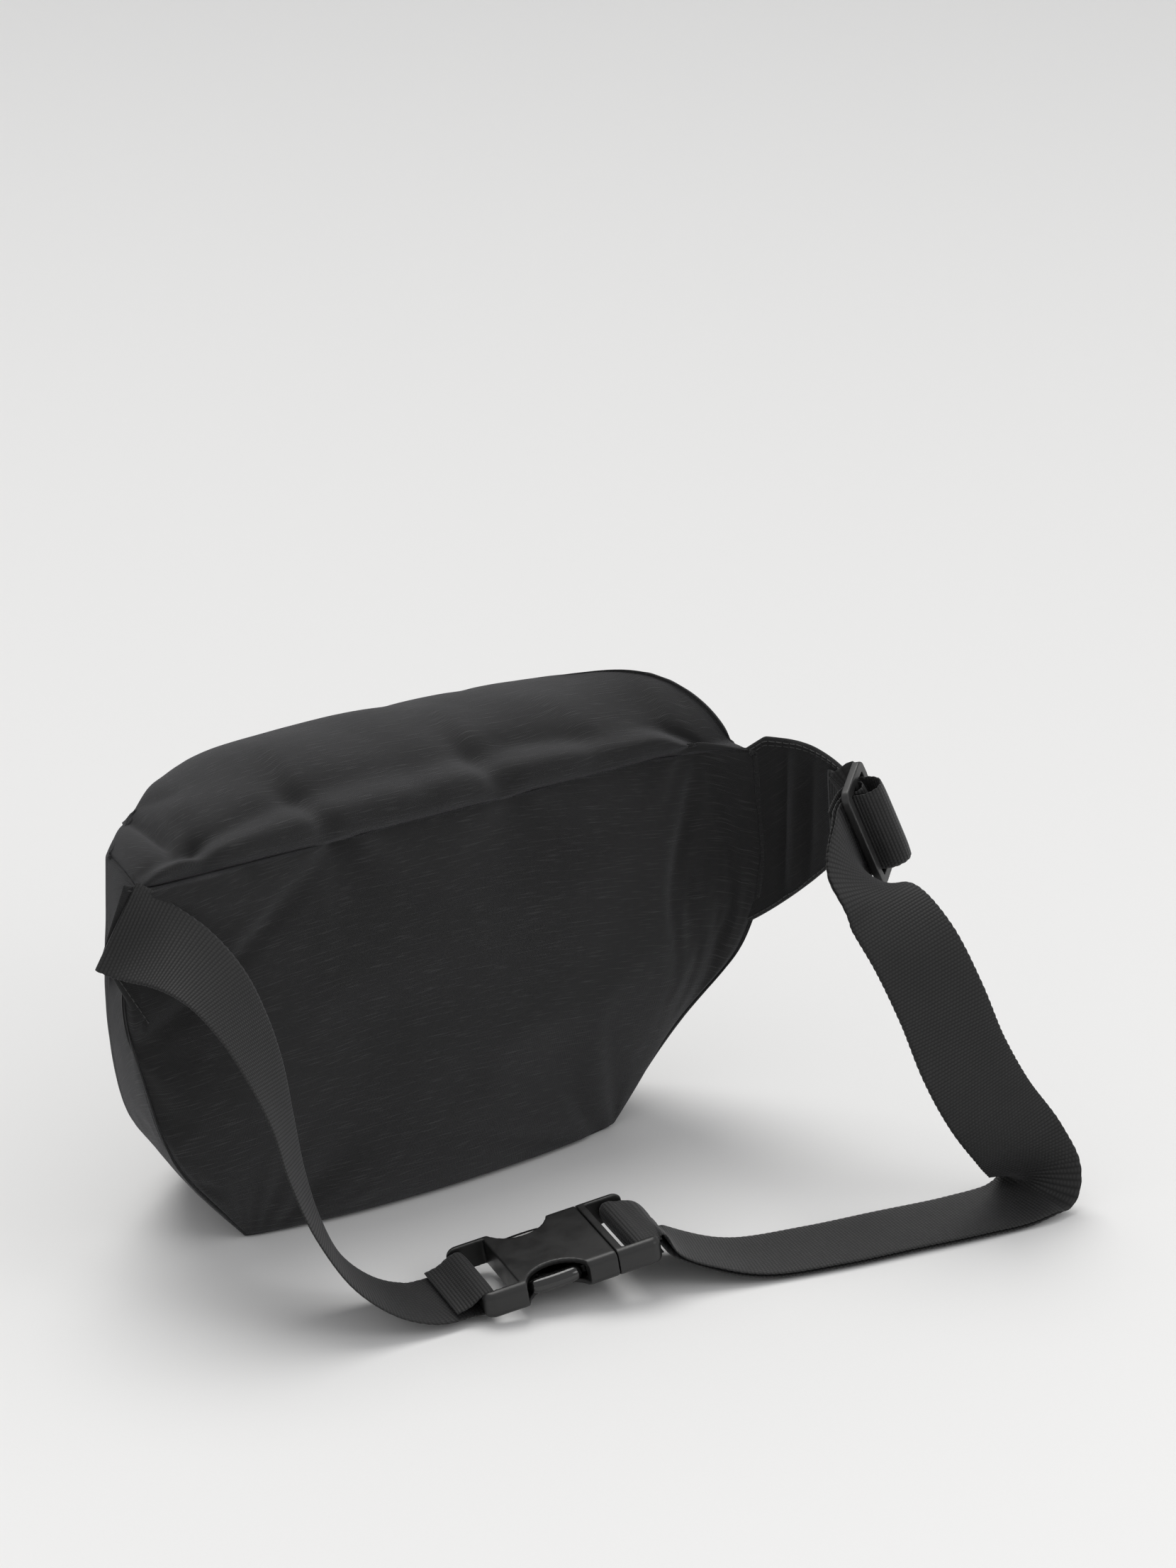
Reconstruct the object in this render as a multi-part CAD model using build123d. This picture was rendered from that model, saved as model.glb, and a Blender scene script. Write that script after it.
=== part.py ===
from build123d import *
import math
import os

os.makedirs("parts", exist_ok=True)

# A waist pack standing on its base, in millimetres. +Z is up, the padded back panel faces +Y, the zips
# face -Y, and the female half of the buckle comes from the wing at the +X end. Everything is drawn with
# the middle of the back panel's lower edge at (0, 0, 0) and moved to the middle of its base at the end.

# ---- Driving dimensions of the bag -----------------------------------------------------------------
body_depth = 86.0          # back panel to the front wall, at the middle
body_half_length = 150.0   # where the front wall's arc meets the back panel
base_half_length = 90.0    # half of the flat base
seam_height = 160.0        # top edge of the back panel
crest_height = 188.0       # highest line of the roof
crest_depth = 42.0         # how far in front of the back panel that line is
front_edge_height = 172.0  # roof height above the front wall
left_side = [(30.0, 38.0), (44.0, 80.0), (51.0, 108.0)]    # outward from the base's end, and up
right_side = [(34.0, 40.0), (53.0, 66.0), (60.0, 90.0)]
left_top_lean = 7.0        # how far the left end leans in towards the seam
fabric = 1.6               # shell fabric with its coating and lining
back_fabric = 1.2
foam = 5.0
lining = 0.8
seam_gap = 0.2             # between pieces of the bag that are sewn to each other

# ---- Wings -----------------------------------------------------------------------------------------
wing_thickness = 2.6
wing_left_reach = 11.0     # beyond the side's widest point
wing_left_tip = 26.0       # height of the tip's lower corner above that point
wing_tip_height = 42.0
curl_run = 20.0            # from the base's end to where the right wing starts to curl
curl_start = base_half_length + curl_run
curl_radius = 55.0
curl_panel_deg = 46.0      # part of the curl that is still the back panel
curl_end_deg = 98.0

# ---- Zips ------------------------------------------------------------------------------------------
main_zip_height = 148.0
main_zip_half_deg = 42.0
pocket_zip_half_deg = 25.0
main_tape_width = 13.0
pocket_tape_width = 10.0
tape_stand_off = 0.3       # from the coil's inner edge to the tape's
tape_thickness = 0.8
coil_width = 2.0
coil_thickness = 1.4
coil_gap = 1.2             # between the two rows of the coil
zip_clearance = 0.35
zip_plate = 1.2
zip_plate_height = 9.0
zip_slider_length = 10.0
zip_neck_length = 3.0
stop_length = 3.0
bail_height = 3.0
bail_bar = 1.6
pull_length = 26.0
pull_width = 6.0
pull_thickness = 1.2
pull_eye_start = 0.6       # the eye runs from here to here along the pull
pull_eye_end = 5.0
pull_eye_half = 1.8
tape_overrun_deg = 0.5     # the main zip's tape past the ends of its coil

# ---- Front pocket ----------------------------------------------------------------------------------
pocket_depth = 9.0
pocket_low = 24.0
pocket_high = 120.0
pocket_half_deg = 29.0
pocket_zip_drop = 16.0     # from the pocket's top edge to its zip

# ---- Webbing ---------------------------------------------------------------------------------------
webbing_width = 38.0
webbing_thickness = 1.4
layer_gap = 0.5            # between two layers of webbing

# ---- Side-release buckle, in its own frame: +X out of the female half's mouth, +Z up ----------------
webbing_slack = 0.6        # slot width beyond the webbing, each side
buckle_side_wall = 3.9     # plastic beside the slots for the webbing
buckle_width = webbing_width + 2 * (webbing_slack + buckle_side_wall)
buckle_thickness = 11.0
female_length = 56.0
male_length = 19.0
buckle_wall = 2.2          # top and bottom plates of the female half
mouth_block = 12.0         # from the mouth to the side windows
window_length = 26.0
plate_waist = 26.0         # width of the plates between the side windows
pocket_half_width = 18.2
end_slot_length = 11.0     # the female half's slot for the webbing
end_bar = 5.0
male_slot_length = 6.5
male_bar = 4.5
moving_clearance = 0.3
latch_arm = 3.4
latch_length = 33.0
latch_root = 2.0           # pivot of a latch, behind the mouth plane
latch_engagement = 1.6     # how far a latch stands out behind the mouth block
guide_width = 6.0
guide_length = 26.0
buckle_mouth = (-3.5, 111.0, 11.4)
buckle_yaw = 166.3
buckle_pitch = 9.5

# ---- Tri-glide, in its own frame: +X along the webbing towards the buckle, +Y across ---------------
glide_length = 26.0
glide_thickness = 3.2
glide_side_bar = 4.0
glide_centre_bar = 3.2
glide_end_bar = 4.0
glide_from_curl = 45.0     # beyond where the wing starts to curl
glide_centre = (-curl_start - glide_from_curl, 86.0, 149.0)
glide_along = (0.743, 0.594, -0.292)
glide_normal = (-0.514, 0.777, 0.275)

# ---- Routes of the webbing: centre of the strap and the direction across it -------------------------
short_route = [
    ((146, 3.0, 149), (0.55, 0.02, -0.83)),
    ((138, 8, 144), (0.80, 0.17, -0.57)),
    ((127, 20, 137), (0.91, 0.32, -0.27)),
    ((119, 31, 127), (0.92, 0.38, -0.02)),
    ((113, 41, 113), (0.86, 0.50, 0.09)),
    ((109, 50, 97), (0.78, 0.60, 0.15)),
    ((107, 58, 78), (0.68, 0.69, 0.24)),
    ((105, 66, 58), (0.63, 0.72, 0.30)),
    ((102, 74, 40), (0.55, 0.80, 0.22)),
    ((94, 83, 23), (0.42, 0.90, 0.10)),
    ((82, 90, 11), (0.32, 0.94, 0.03)),
    ((68, 95, 5.5), (0.26, 0.96, 0)),
]
floor_run = [
    ((-30, 121, 13.5), (0.23, 0.97, 0)),
    ((-44, 128, 7.0), (0.22, 0.97, 0)),
    ((-60, 136, 3.4), (0.20, 0.98, 0)),
    ((-90, 144, 2.4), (0.20, 0.98, 0)),
    ((-122, 150, 2.4), (0.20, 0.98, 0)),
    ((-154, 156, 2.4), (0.20, 0.98, 0)),
]
rise_from_curl = [         # along X from where the wing starts to curl
    ((-67, 159, 3.2), (0.10, 0.99, 0)),
    ((-77, 159, 7), (-0.35, 0.93, 0)),
    ((-77, 159, 15), (-0.75, 0.65, -0.08)),
    ((-68, 158, 28), (-0.91, 0.40, -0.06)),
    ((-54.5, 155, 48), (-0.94, 0.34, 0.04)),
    ((-43, 151, 70), (-0.95, 0.30, 0.08)),
    ((-36, 144, 93), (-0.95, 0.31, 0.03)),
    ((-30.5, 133, 114), (-0.94, 0.34, 0)),
    ((-26, 119, 129), (-0.92, 0.35, -0.15)),
    ((-24.5, 107, 136), (-0.85, 0.25, -0.45)),
]
floor_route = floor_run + [((x - curl_start, y, z), across) for (x, y, z), across in rise_from_curl]
anchor_from_curl = (-53.4, -53.2)


# ---- Small tools -----------------------------------------------------------------------------------
def block(x, y, z):
    """A box between two corners, given as a pair of limits for each axis."""
    size = [hi - lo for lo, hi in (x, y, z)]
    return Pos(*[(lo + hi) / 2 for lo, hi in (x, y, z)]) * Box(*size)


def prism(outline, low, high):
    """A flat outline drawn on XY, made solid from low to high."""
    return Pos(0, 0, low) * extrude(outline, high - low, dir=(0, 0, 1))


def ring(centre, r_in, r_out, low, high, start, end):
    """Part of an upright tube wall, between two angles in degrees counted from +X."""
    reach = 2 * r_out
    angles = [start + (end - start) * k / 4 for k in range(5)]
    wedge = Polygon((0, 0), *[(reach * math.cos(math.radians(a)), reach * math.sin(math.radians(a)))
                              for a in angles], align=None)
    sector = (Circle(r_out) - Circle(r_in)) & wedge
    return Pos(centre[0], centre[1], 0) * prism(sector, low, high)


def ribbon(stations, width, thickness):
    """A strip of webbing through stations of (centre, across), as a closed skin of flat triangles."""
    centres = [Vector(*c) for c, _ in stations]
    last = len(centres) - 1
    rows = []
    across = Vector(*stations[0][1])
    for i, (_, direction) in enumerate(stations):
        # A fitting's own axis may point the other way, which would turn the strip inside out.
        turn = 1 if across.dot(Vector(*direction)) > 0 else -1
        across = Vector(*direction) * turn
        along = (centres[min(i + 1, last)] - centres[max(i - 1, 0)]).normalized()
        side = (across - along * along.dot(across)).normalized() * (width / 2)
        up = along.cross(side).normalized() * (thickness / 2)
        rows.append([centres[i] - side - up, centres[i] + side - up,
                     centres[i] + side + up, centres[i] - side + up])
    faces = []
    for a, b in zip(rows, rows[1:]):
        # Opposite faces are split along the same diagonal, so a twisted stretch keeps its thickness.
        for k in (0, 1):
            faces += [(a[k], b[k], b[k + 1]), (a[k], b[k + 1], a[k + 1])]
        for k, n in ((2, 3), (3, 0)):
            faces += [(a[k], b[k], a[n]), (b[k], b[n], a[n])]
    first, end = rows[0], rows[-1]
    faces += [(first[0], first[1], first[2]), (first[0], first[2], first[3])]
    faces += [(end[2], end[1], end[0]), (end[3], end[2], end[0])]
    shell = Shell([Face(Wire.make_polygon(f, close=True)) for f in faces])
    return Solid(shell)


def offset_layer(stations, distance):
    """The same route moved off its own face by a distance."""
    centres = [Vector(*c) for c, _ in stations]
    last = len(centres) - 1
    moved = []
    for i, (_, across) in enumerate(stations):
        along = (centres[min(i + 1, last)] - centres[max(i - 1, 0)]).normalized()
        up = along.cross(Vector(*across)).normalized()
        moved.append((tuple(centres[i] + up * distance), across))
    return moved


def in_frame(frame, points):
    """Route points given as (x, z) in a fitting's frame, with the strap across its Y axis."""
    across = tuple(frame.y_dir)
    return [(tuple(frame.from_local_coords(Vector(x, 0, z))), across) for x, z in points]


def only(shape):
    """The one solid of a boolean result."""
    return shape.solid()


parts = {}

# ---- The bag's outline, seen from above, from the back and from the side ----------------------------
front_radius = (body_half_length ** 2 + body_depth ** 2) / (2 * body_depth)
front_centre = (0.0, front_radius - body_depth)
curl_centre = (-curl_start, curl_radius)
tall = crest_height + 20
shell_back = back_fabric + seam_gap
left_edge = [(base_half_length, 0.0)] + [(base_half_length + out, up) for out, up in left_side]
left_end_x, left_end_z = left_edge[-1]
left_top_x = left_end_x - left_top_lean
right_edge = [(-base_half_length, 0.0)] + [(-base_half_length - out, up) for out, up in right_side]
right_end_x, right_end_z = right_edge[-1]


def plan(inset):
    """Seen from above: the front arc, closed by the back panel and its curled end."""
    disc = Pos(*front_centre) * Circle(front_radius - inset)
    back = -(shell_back + inset)
    flat = disc & (Pos(0, back - tall) * Rectangle(4 * body_half_length, 2 * tall))
    nook = disc & (Pos(-curl_start - tall, 0) * Rectangle(2 * tall, 2 * curl_radius))
    nook -= Pos(*curl_centre) * Circle(curl_radius + shell_back + inset)
    nook &= Pos(-curl_start - tall, curl_radius / 2 - tall) * Rectangle(2 * tall, 2 * tall)
    return prism(Sketch() + [flat, nook], -1, tall)


def silhouette(inset):
    """Seen from the back: flat base, sloping sides, nearly upright ends."""
    left = left_edge + [(left_top_x, seam_height), (left_top_x, tall)]
    right = right_edge + [(right_end_x, tall)]
    outline = Polygon(*left, *reversed(right), align=None)
    if inset:
        outline = offset(outline, -inset, kind=Kind.INTERSECTION)
    return Plane.XZ.location * prism(outline, -tall, tall)


def roof(inset):
    """Seen from the end: everything under the roof's curve."""
    back = (0.0, seam_height - inset)
    crest = (-crest_depth, crest_height - inset)
    front = (-body_depth, front_edge_height - inset)
    far = -2 * body_depth
    arc = ThreePointArc(back, crest, front)
    drop = Polyline(front, (far, front_edge_height - inset), (far, -10), (tall, -10),
                    (tall, seam_height - inset), back)
    outline = make_face([arc] + drop.edges())
    return Plane.YZ.location * prism(outline, -tall, tall)


def front_ring(r_in, r_out, low, high, start, end):
    """Wall on the front arc; angles in degrees from the middle, positive towards +X."""
    return ring(front_centre, front_radius + r_in, front_radius + r_out, low, high, start - 90, end - 90)


# ---- Shell ----------------------------------------------------------------------------------------
inner = fabric + seam_gap
zip_low = main_zip_height - coil_gap / 2 - coil_width - main_tape_width
zip_high = main_zip_height + coil_gap / 2 + coil_width + main_tape_width
zip_slot = front_ring(-2 * fabric, fabric, zip_low - seam_gap, zip_high + seam_gap,
                      -main_zip_half_deg - 1, main_zip_half_deg + 1)
plan_outer, plan_inner = plan(0), plan(inner)
roof_outer, roof_inner = roof(0), roof(inner)
sides_outer, sides_inner = silhouette(0), silhouette(inner)

parts["top_panel"] = only((roof_outer - roof(fabric)) & plan_outer & sides_outer)

front_wall = (plan_outer - plan(fabric)) & sides_outer & roof_inner
front_wall -= block((-tall, tall), (-shell_back - 8, tall), (-10, tall))
front_wall -= zip_slot
parts["front_panel"] = only(front_wall)

gusset_ring = (sides_outer - silhouette(fabric)) & plan_inner & roof_inner
base_limit = base_half_length - seam_gap
parts["base_panel"] = only(gusset_ring & block((-base_limit, base_limit), (-tall, tall), (-1, fabric)))
parts["side_gusset_left"] = only(gusset_ring & block((base_half_length, tall), (-tall, tall), (-1, tall)))
parts["side_gusset_right"] = only(gusset_ring & block((-tall, -base_half_length), (-tall, tall), (-1, tall)))

# ---- Back panel: fabric, foam and lining ----------------------------------------------------------
flat_back = block((-curl_start, tall), (-back_fabric, 0), (0, seam_height))
curl_panel = ring(curl_centre, curl_radius, curl_radius + back_fabric, 0, seam_height,
                  270 - curl_panel_deg, 270)
parts["back_panel"] = only((flat_back + curl_panel) & silhouette(0))
pad_zone = silhouette(inner) & roof(inner) & block((-curl_start, tall), (-tall, tall), (inner, tall))
foam_back = -(back_fabric + seam_gap)
lining_back = foam_back - foam - seam_gap
parts["back_padding"] = only(pad_zone & block((-tall, tall), (foam_back - foam, foam_back), (0, tall)))
parts["back_lining"] = only(pad_zone & block((-tall, tall), (lining_back - lining, lining_back), (0, tall)))

# ---- Wings ----------------------------------------------------------------------------------------
wing_root = left_end_x + seam_gap
wing_low = seam_height - wing_tip_height
left_outline = Polygon((wing_root, left_end_z + 3), (wing_root + wing_left_reach, left_end_z + wing_left_tip),
                       (left_top_x + seam_gap + 1, seam_height + 3), (left_top_x + seam_gap, seam_height),
                       align=None)
parts["wing_left"] = only(Plane.XZ.location * prism(left_outline, 0, wing_thickness))
curl_wall = ring(curl_centre, curl_radius, curl_radius + wing_thickness, 0, seam_height,
                 270 - curl_end_deg, 270 - curl_panel_deg - 0.2)
wing_reach = curl_start + curl_radius + wing_thickness + 1
panel_edge = curl_start + curl_radius * math.sin(math.radians(curl_panel_deg)) - 2
wing_cut = Polygon((-panel_edge, right_end_z - 2), (-wing_reach, wing_low), (-wing_reach, tall),
                   (-panel_edge, tall), align=None)
parts["wing_right"] = only(curl_wall & (Plane.XZ.location * prism(wing_cut, -tall, tall)))


# ---- Zips -----------------------------------------------------------------------------------------
def zip_set(name, face, height, tape_width, tape_deg, half_deg, rest_side):
    """Tapes, coil rows, stops, slider and pull of one zip on the front arc; face is its radius offset."""
    half_gap = coil_gap / 2
    for row, up in (("upper", 1), ("lower", -1)):
        tape = sorted((height + up * (half_gap + tape_stand_off), height + up * (half_gap + coil_width + tape_width)))
        coil = sorted((height + up * half_gap, height + up * (half_gap + coil_width)))
        parts[f"{name}_tape_{row}"] = front_ring(face - tape_thickness, face, *tape, -tape_deg, tape_deg)
        parts[f"{name}_coil_{row}"] = front_ring(face + 0.05, face + coil_thickness, *coil, -half_deg, half_deg)
    stop_deg = math.degrees(stop_length / front_radius)
    stop_low, stop_high = height - half_gap - coil_width, height + half_gap + coil_width
    stops = [front_ring(face + coil_thickness + 0.05, face + coil_thickness + 1.0, stop_low, stop_high, a,
                        a + stop_deg)
             for a in (-half_deg, half_deg - stop_deg)]
    parts[f"{name}_stops"] = Compound([only(s) for s in stops])

    slider_deg = math.degrees(zip_slider_length / front_radius) / 2
    rest_deg = rest_side * (half_deg - stop_deg - slider_deg - 0.4)
    low, high = height - zip_plate_height / 2, height + zip_plate_height / 2
    outer_face = face + coil_thickness + zip_clearance
    top_plate = front_ring(outer_face, outer_face + zip_plate, low, high, -slider_deg, slider_deg)
    inner_face = face - tape_thickness - zip_clearance
    under_plate = front_ring(inner_face - zip_plate, inner_face, low, high, -slider_deg, slider_deg)
    neck_deg = math.degrees(zip_neck_length / front_radius)
    neck_half = half_gap - zip_clearance + 0.05
    neck = front_ring(inner_face - 0.1, outer_face + 0.1, height - neck_half, height + neck_half,
                      slider_deg - neck_deg, slider_deg)
    bail_foot = outer_face + zip_plate
    bail_deg = math.degrees(3.2 / front_radius)
    arch = front_ring(bail_foot - 0.1, bail_foot + bail_height, height - bail_bar / 2, height + bail_bar / 2,
                      -bail_deg, bail_deg)
    hole_deg = math.degrees(1.9 / front_radius)
    arch -= front_ring(bail_foot - 0.2, bail_foot + bail_height - 1.0, height - 5, height + 5,
                       -hole_deg, hole_deg)
    turn = Pos(*front_centre) * Rot(0, 0, rest_deg) * Pos(-front_centre[0], -front_centre[1])
    parts[f"{name}_slider"] = only(turn * (top_plate + under_plate + neck + arch))

    pivot_y = -(body_depth + bail_foot + 1.0)
    eye_half = pull_width / 2
    side = -rest_side
    eye_low = pivot_y - pull_thickness / 2
    shaft_x = sorted((0, side * pull_length))
    pull = block(shaft_x, (eye_low, eye_low + pull_thickness), (height - eye_half, height + eye_half))
    eye_x = sorted((side * pull_eye_start, side * pull_eye_end))
    pull -= block(eye_x, (eye_low - 1, eye_low + 3), (height - pull_eye_half, height + pull_eye_half))
    pull = Pos(-side * pull_eye_start, 0, 0) * pull
    pull = fillet(pull.edges().filter_by(Axis.Y).group_by(Axis.X)[-1 if side > 0 else 0], 1.5)
    parts[f"{name}_pull"] = only(turn * pull)
    pivot = turn * Pos(0, pivot_y, height)
    return {"slider_deg": (-rest_side) * (2 * abs(rest_deg)), "pivot": pivot.position, "rest_deg": rest_deg}


main_zip = zip_set("main_zip", 0.0, main_zip_height, main_tape_width, main_zip_half_deg + tape_overrun_deg,
                   main_zip_half_deg, -1)

# ---- Front pocket: a tray sewn to the front panel, with its own zip -------------------------------
pocket_foot = seam_gap
pocket_face = pocket_depth - fabric
tray = front_ring(pocket_foot, pocket_depth, pocket_low, pocket_high, -pocket_half_deg, pocket_half_deg)
wall_deg = math.degrees(fabric / front_radius)
tray -= front_ring(pocket_foot - 1, pocket_face, pocket_low + fabric, pocket_high - fabric,
                   -pocket_half_deg + wall_deg, pocket_half_deg - wall_deg)
pocket_zip_height = pocket_high - pocket_zip_drop
pocket_slot = coil_gap / 2 + coil_width + 4.0
tray -= front_ring(pocket_face - 1, pocket_depth + 1, pocket_zip_height - pocket_slot,
                   pocket_zip_height + pocket_slot, -pocket_zip_half_deg, pocket_zip_half_deg)
parts["pocket_panel"] = only(tray)
pocket_zip = zip_set("pocket_zip", pocket_face - 0.1, pocket_zip_height, pocket_tape_width,
                     pocket_zip_half_deg + 1.5, pocket_zip_half_deg - 0.4, -1)

# ---- Side-release buckle --------------------------------------------------------------------------
yaw, pitch = math.radians(buckle_yaw), math.radians(buckle_pitch)
buckle_frame = Plane(
    origin=buckle_mouth,
    x_dir=(math.cos(yaw) * math.cos(pitch), math.sin(yaw) * math.cos(pitch), math.sin(pitch)),
    z_dir=(-math.cos(yaw) * math.sin(pitch), -math.sin(yaw) * math.sin(pitch), math.cos(pitch)),
)
half_width = buckle_width / 2
mid_z = buckle_thickness / 2
all_z = (0, buckle_thickness)
window_end = -mouth_block - window_length
slot_end = -female_length + end_bar
slot_start = slot_end + end_slot_length
cavity_z = (buckle_wall, buckle_thickness - buckle_wall)

outline = Pos(-female_length / 2, 0) * RectangleRounded(female_length, buckle_width, 5)
outline += Pos(-mouth_block / 2, 0) * Rectangle(mouth_block, buckle_width - 0.01)
female = prism(outline, *all_z)
waist_depth = (buckle_width - plate_waist) / 2
waist_radius = ((window_length / 2) ** 2 + waist_depth ** 2) / (2 * waist_depth)
window_mid = -mouth_block - window_length / 2
for side in (1, -1):
    bite = Pos(window_mid, side * (plate_waist / 2 + waist_radius)) * Circle(waist_radius)
    female -= prism(bite, -1, buckle_thickness + 1)
female = fillet(female.edges().filter_by(GeomType.LINE).filter_by(Axis.X), 3.0)
female -= block((window_end, 1), (-pocket_half_width, pocket_half_width), cavity_z)
female -= block((window_end, -mouth_block), (-buckle_width, buckle_width), cavity_z)
opening_half = webbing_width / 2 + webbing_slack
bar_trim = 2.6


def cross_bar(start, length):
    """A rounded bar across a buckle half, thinner than the rails at its ends."""
    outline = RectangleRounded(length, buckle_thickness - 2 * bar_trim, 2)
    bar = Plane.XZ.location * prism(outline, -opening_half - 0.2, opening_half + 0.2)
    return Pos(start + length / 2, 0, mid_z) * bar


female -= block((-female_length - 1, slot_start), (-opening_half, opening_half), (-1, 20))
female += cross_bar(-female_length + 0.5, end_bar)
parts["buckle_female"] = only(buckle_frame.location * female)

male_start = moving_clearance
bar_start = male_start + 3.2 + male_slot_length
male = prism(Pos((male_start + male_length) / 2, 0)
             * RectangleRounded(male_length - male_start, buckle_width, 4), *all_z)
male += block((male_start, male_start + 5), (-half_width + 0.01, half_width - 0.01), all_z)
male = fillet(male.edges().filter_by(GeomType.LINE).filter_by(Axis.X), 3.0)
male -= block((bar_start - male_slot_length, male_length + 1), (-opening_half, opening_half), (-1, 20))
male += cross_bar(bar_start, male_bar)
root_room = block((-1, male_start + 2.4), (-pocket_half_width, pocket_half_width), cavity_z)
male -= root_room
guide_z = (buckle_wall + moving_clearance + 1, buckle_thickness - buckle_wall - moving_clearance - 1)
male += block((-guide_length, male_start + 3.2), (-guide_width / 2, guide_width / 2), guide_z)
parts["buckle_male"] = only(buckle_frame.location * male)

arm_z = (cavity_z[0] + moving_clearance, cavity_z[1] - moving_clearance)
shoulder_x = -mouth_block - moving_clearance
latch_outer = pocket_half_width - moving_clearance
latch_tip = latch_root - latch_length
grip_outer = latch_outer + latch_engagement + 1.2
for name, side in (("latch_left", 1), ("latch_right", -1)):
    path = [(latch_root, latch_outer - latch_arm), (latch_root, latch_outer), (shoulder_x, latch_outer),
            (shoulder_x, latch_outer + latch_engagement), (shoulder_x - 6, grip_outer),
            (window_mid - 4, grip_outer), (latch_tip, latch_outer - 2.4), (latch_tip, latch_outer - latch_arm - 2),
            (window_mid, latch_outer - latch_arm), (shoulder_x + 2, latch_outer - latch_arm)]
    arm = prism(Polygon(*[(x, side * y) for x, y in path], align=None), *arm_z)
    parts[name] = only(buckle_frame.location * arm)

# ---- Tri-glide ------------------------------------------------------------------------------------
glide_frame = Plane(origin=glide_centre, x_dir=glide_along, z_dir=glide_normal)
glide_width = webbing_width + 2 * (webbing_slack + glide_end_bar)
slot = (glide_length - 2 * glide_side_bar - glide_centre_bar) / 2
glide_outline = RectangleRounded(glide_length, glide_width, 4)
for side in (1, -1):
    slot_mid = side * (glide_centre_bar + slot) / 2
    glide_outline -= Pos(slot_mid, 0) * Rectangle(slot, webbing_width + 2 * webbing_slack)
glide = prism(glide_outline, -glide_thickness / 2, glide_thickness / 2)
parts["tri_glide"] = only(glide_frame.location * glide)

# ---- Webbing --------------------------------------------------------------------------------------
pitch_of_layers = webbing_thickness + layer_gap
bar_x = -female_length + 0.5 + end_bar / 2
wrap = end_bar / 2 + layer_gap + webbing_thickness / 2
wrap_z = (buckle_thickness / 2 - bar_trim) + layer_gap + webbing_thickness / 2
female_loop = in_frame(buckle_frame, [
    (bar_x - wrap - 6, mid_z - wrap_z + 1.4), (bar_x - wrap, mid_z - wrap_z + 0.4), (bar_x - 1, mid_z - wrap_z),
    (bar_x + wrap - 1, mid_z - wrap_z + 0.6), (bar_x + wrap, mid_z), (bar_x + wrap - 1, mid_z + wrap_z - 0.6),
    (bar_x, mid_z + wrap_z), (bar_x - wrap, mid_z + wrap_z - 0.6), (bar_x - wrap - 8, mid_z + 1.2),
    (bar_x - wrap - 20, mid_z - 1.0)])
parts["short_webbing"] = ribbon(short_route + female_loop, webbing_width, webbing_thickness)

lower_layer = offset_layer(floor_route, pitch_of_layers / 2)
upper_layer = offset_layer(floor_route, -pitch_of_layers / 2)
male_bar_x = bar_start + male_bar / 2
male_wrap = male_bar / 2 + layer_gap + webbing_thickness / 2
male_loop = in_frame(buckle_frame, [
    (male_bar_x + male_wrap + 7, mid_z + 0.6), (male_bar_x + male_wrap, mid_z + wrap_z - 1),
    (male_bar_x, mid_z + wrap_z), (male_bar_x - male_wrap + 1, mid_z + wrap_z - 0.8),
    (male_bar_x - male_wrap, mid_z), (male_bar_x - male_wrap + 1, mid_z - wrap_z + 0.8),
    (male_bar_x, mid_z - wrap_z), (male_bar_x + male_wrap, mid_z - wrap_z + 0.4),
    (male_bar_x + male_wrap + 7, mid_z - wrap_z - 0.4)])
wing_anchor = [((anchor_from_curl[0] - curl_start, 50, 140), (0.02, 0.04, -1)),
               ((anchor_from_curl[1] - curl_start, 63, 142), (-0.02, 0.04, -1))]
thread_out = in_frame(glide_frame, [
    (-15, -3.4), (-9.2, -3.4), (-6.2, -0.2), (-4.3, 4.3), (0, 5.3), (4.3, 4.3), (6.2, -0.2), (9.2, -3.4),
    (16, -3.8)])
end_loop = in_frame(glide_frame, [
    (16, -5.7), (9, -5.4), (5.4, -4.0), (3.8, 0), (2.2, 3.0), (-2.2, 3.0), (-3.6, 0), (-2.2, -3.8), (1.6, -6.6),
    (8, -7.6), (15, -7.8)])
route = wing_anchor + thread_out + upper_layer[::-1] + male_loop + lower_layer + end_loop
parts["long_webbing"] = ribbon(route, webbing_width, webbing_thickness)

# ---- Put the middle of the base at the origin and write the files ----------------------------------
whole = Compound([s for p in parts.values() for s in p.solids()]).bounding_box()
shift = Pos(-(whole.min.X + whole.max.X) / 2, -(whole.min.Y + whole.max.Y) / 2, -whole.min.Z)
for name, shape in parts.items():
    export_step(shift * shape, f"parts/{name}.step")

print("shift", shift.position)
print("size", whole.size)
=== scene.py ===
import math

import bmesh
import bpy
import numpy as np
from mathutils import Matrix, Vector, noise


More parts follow.
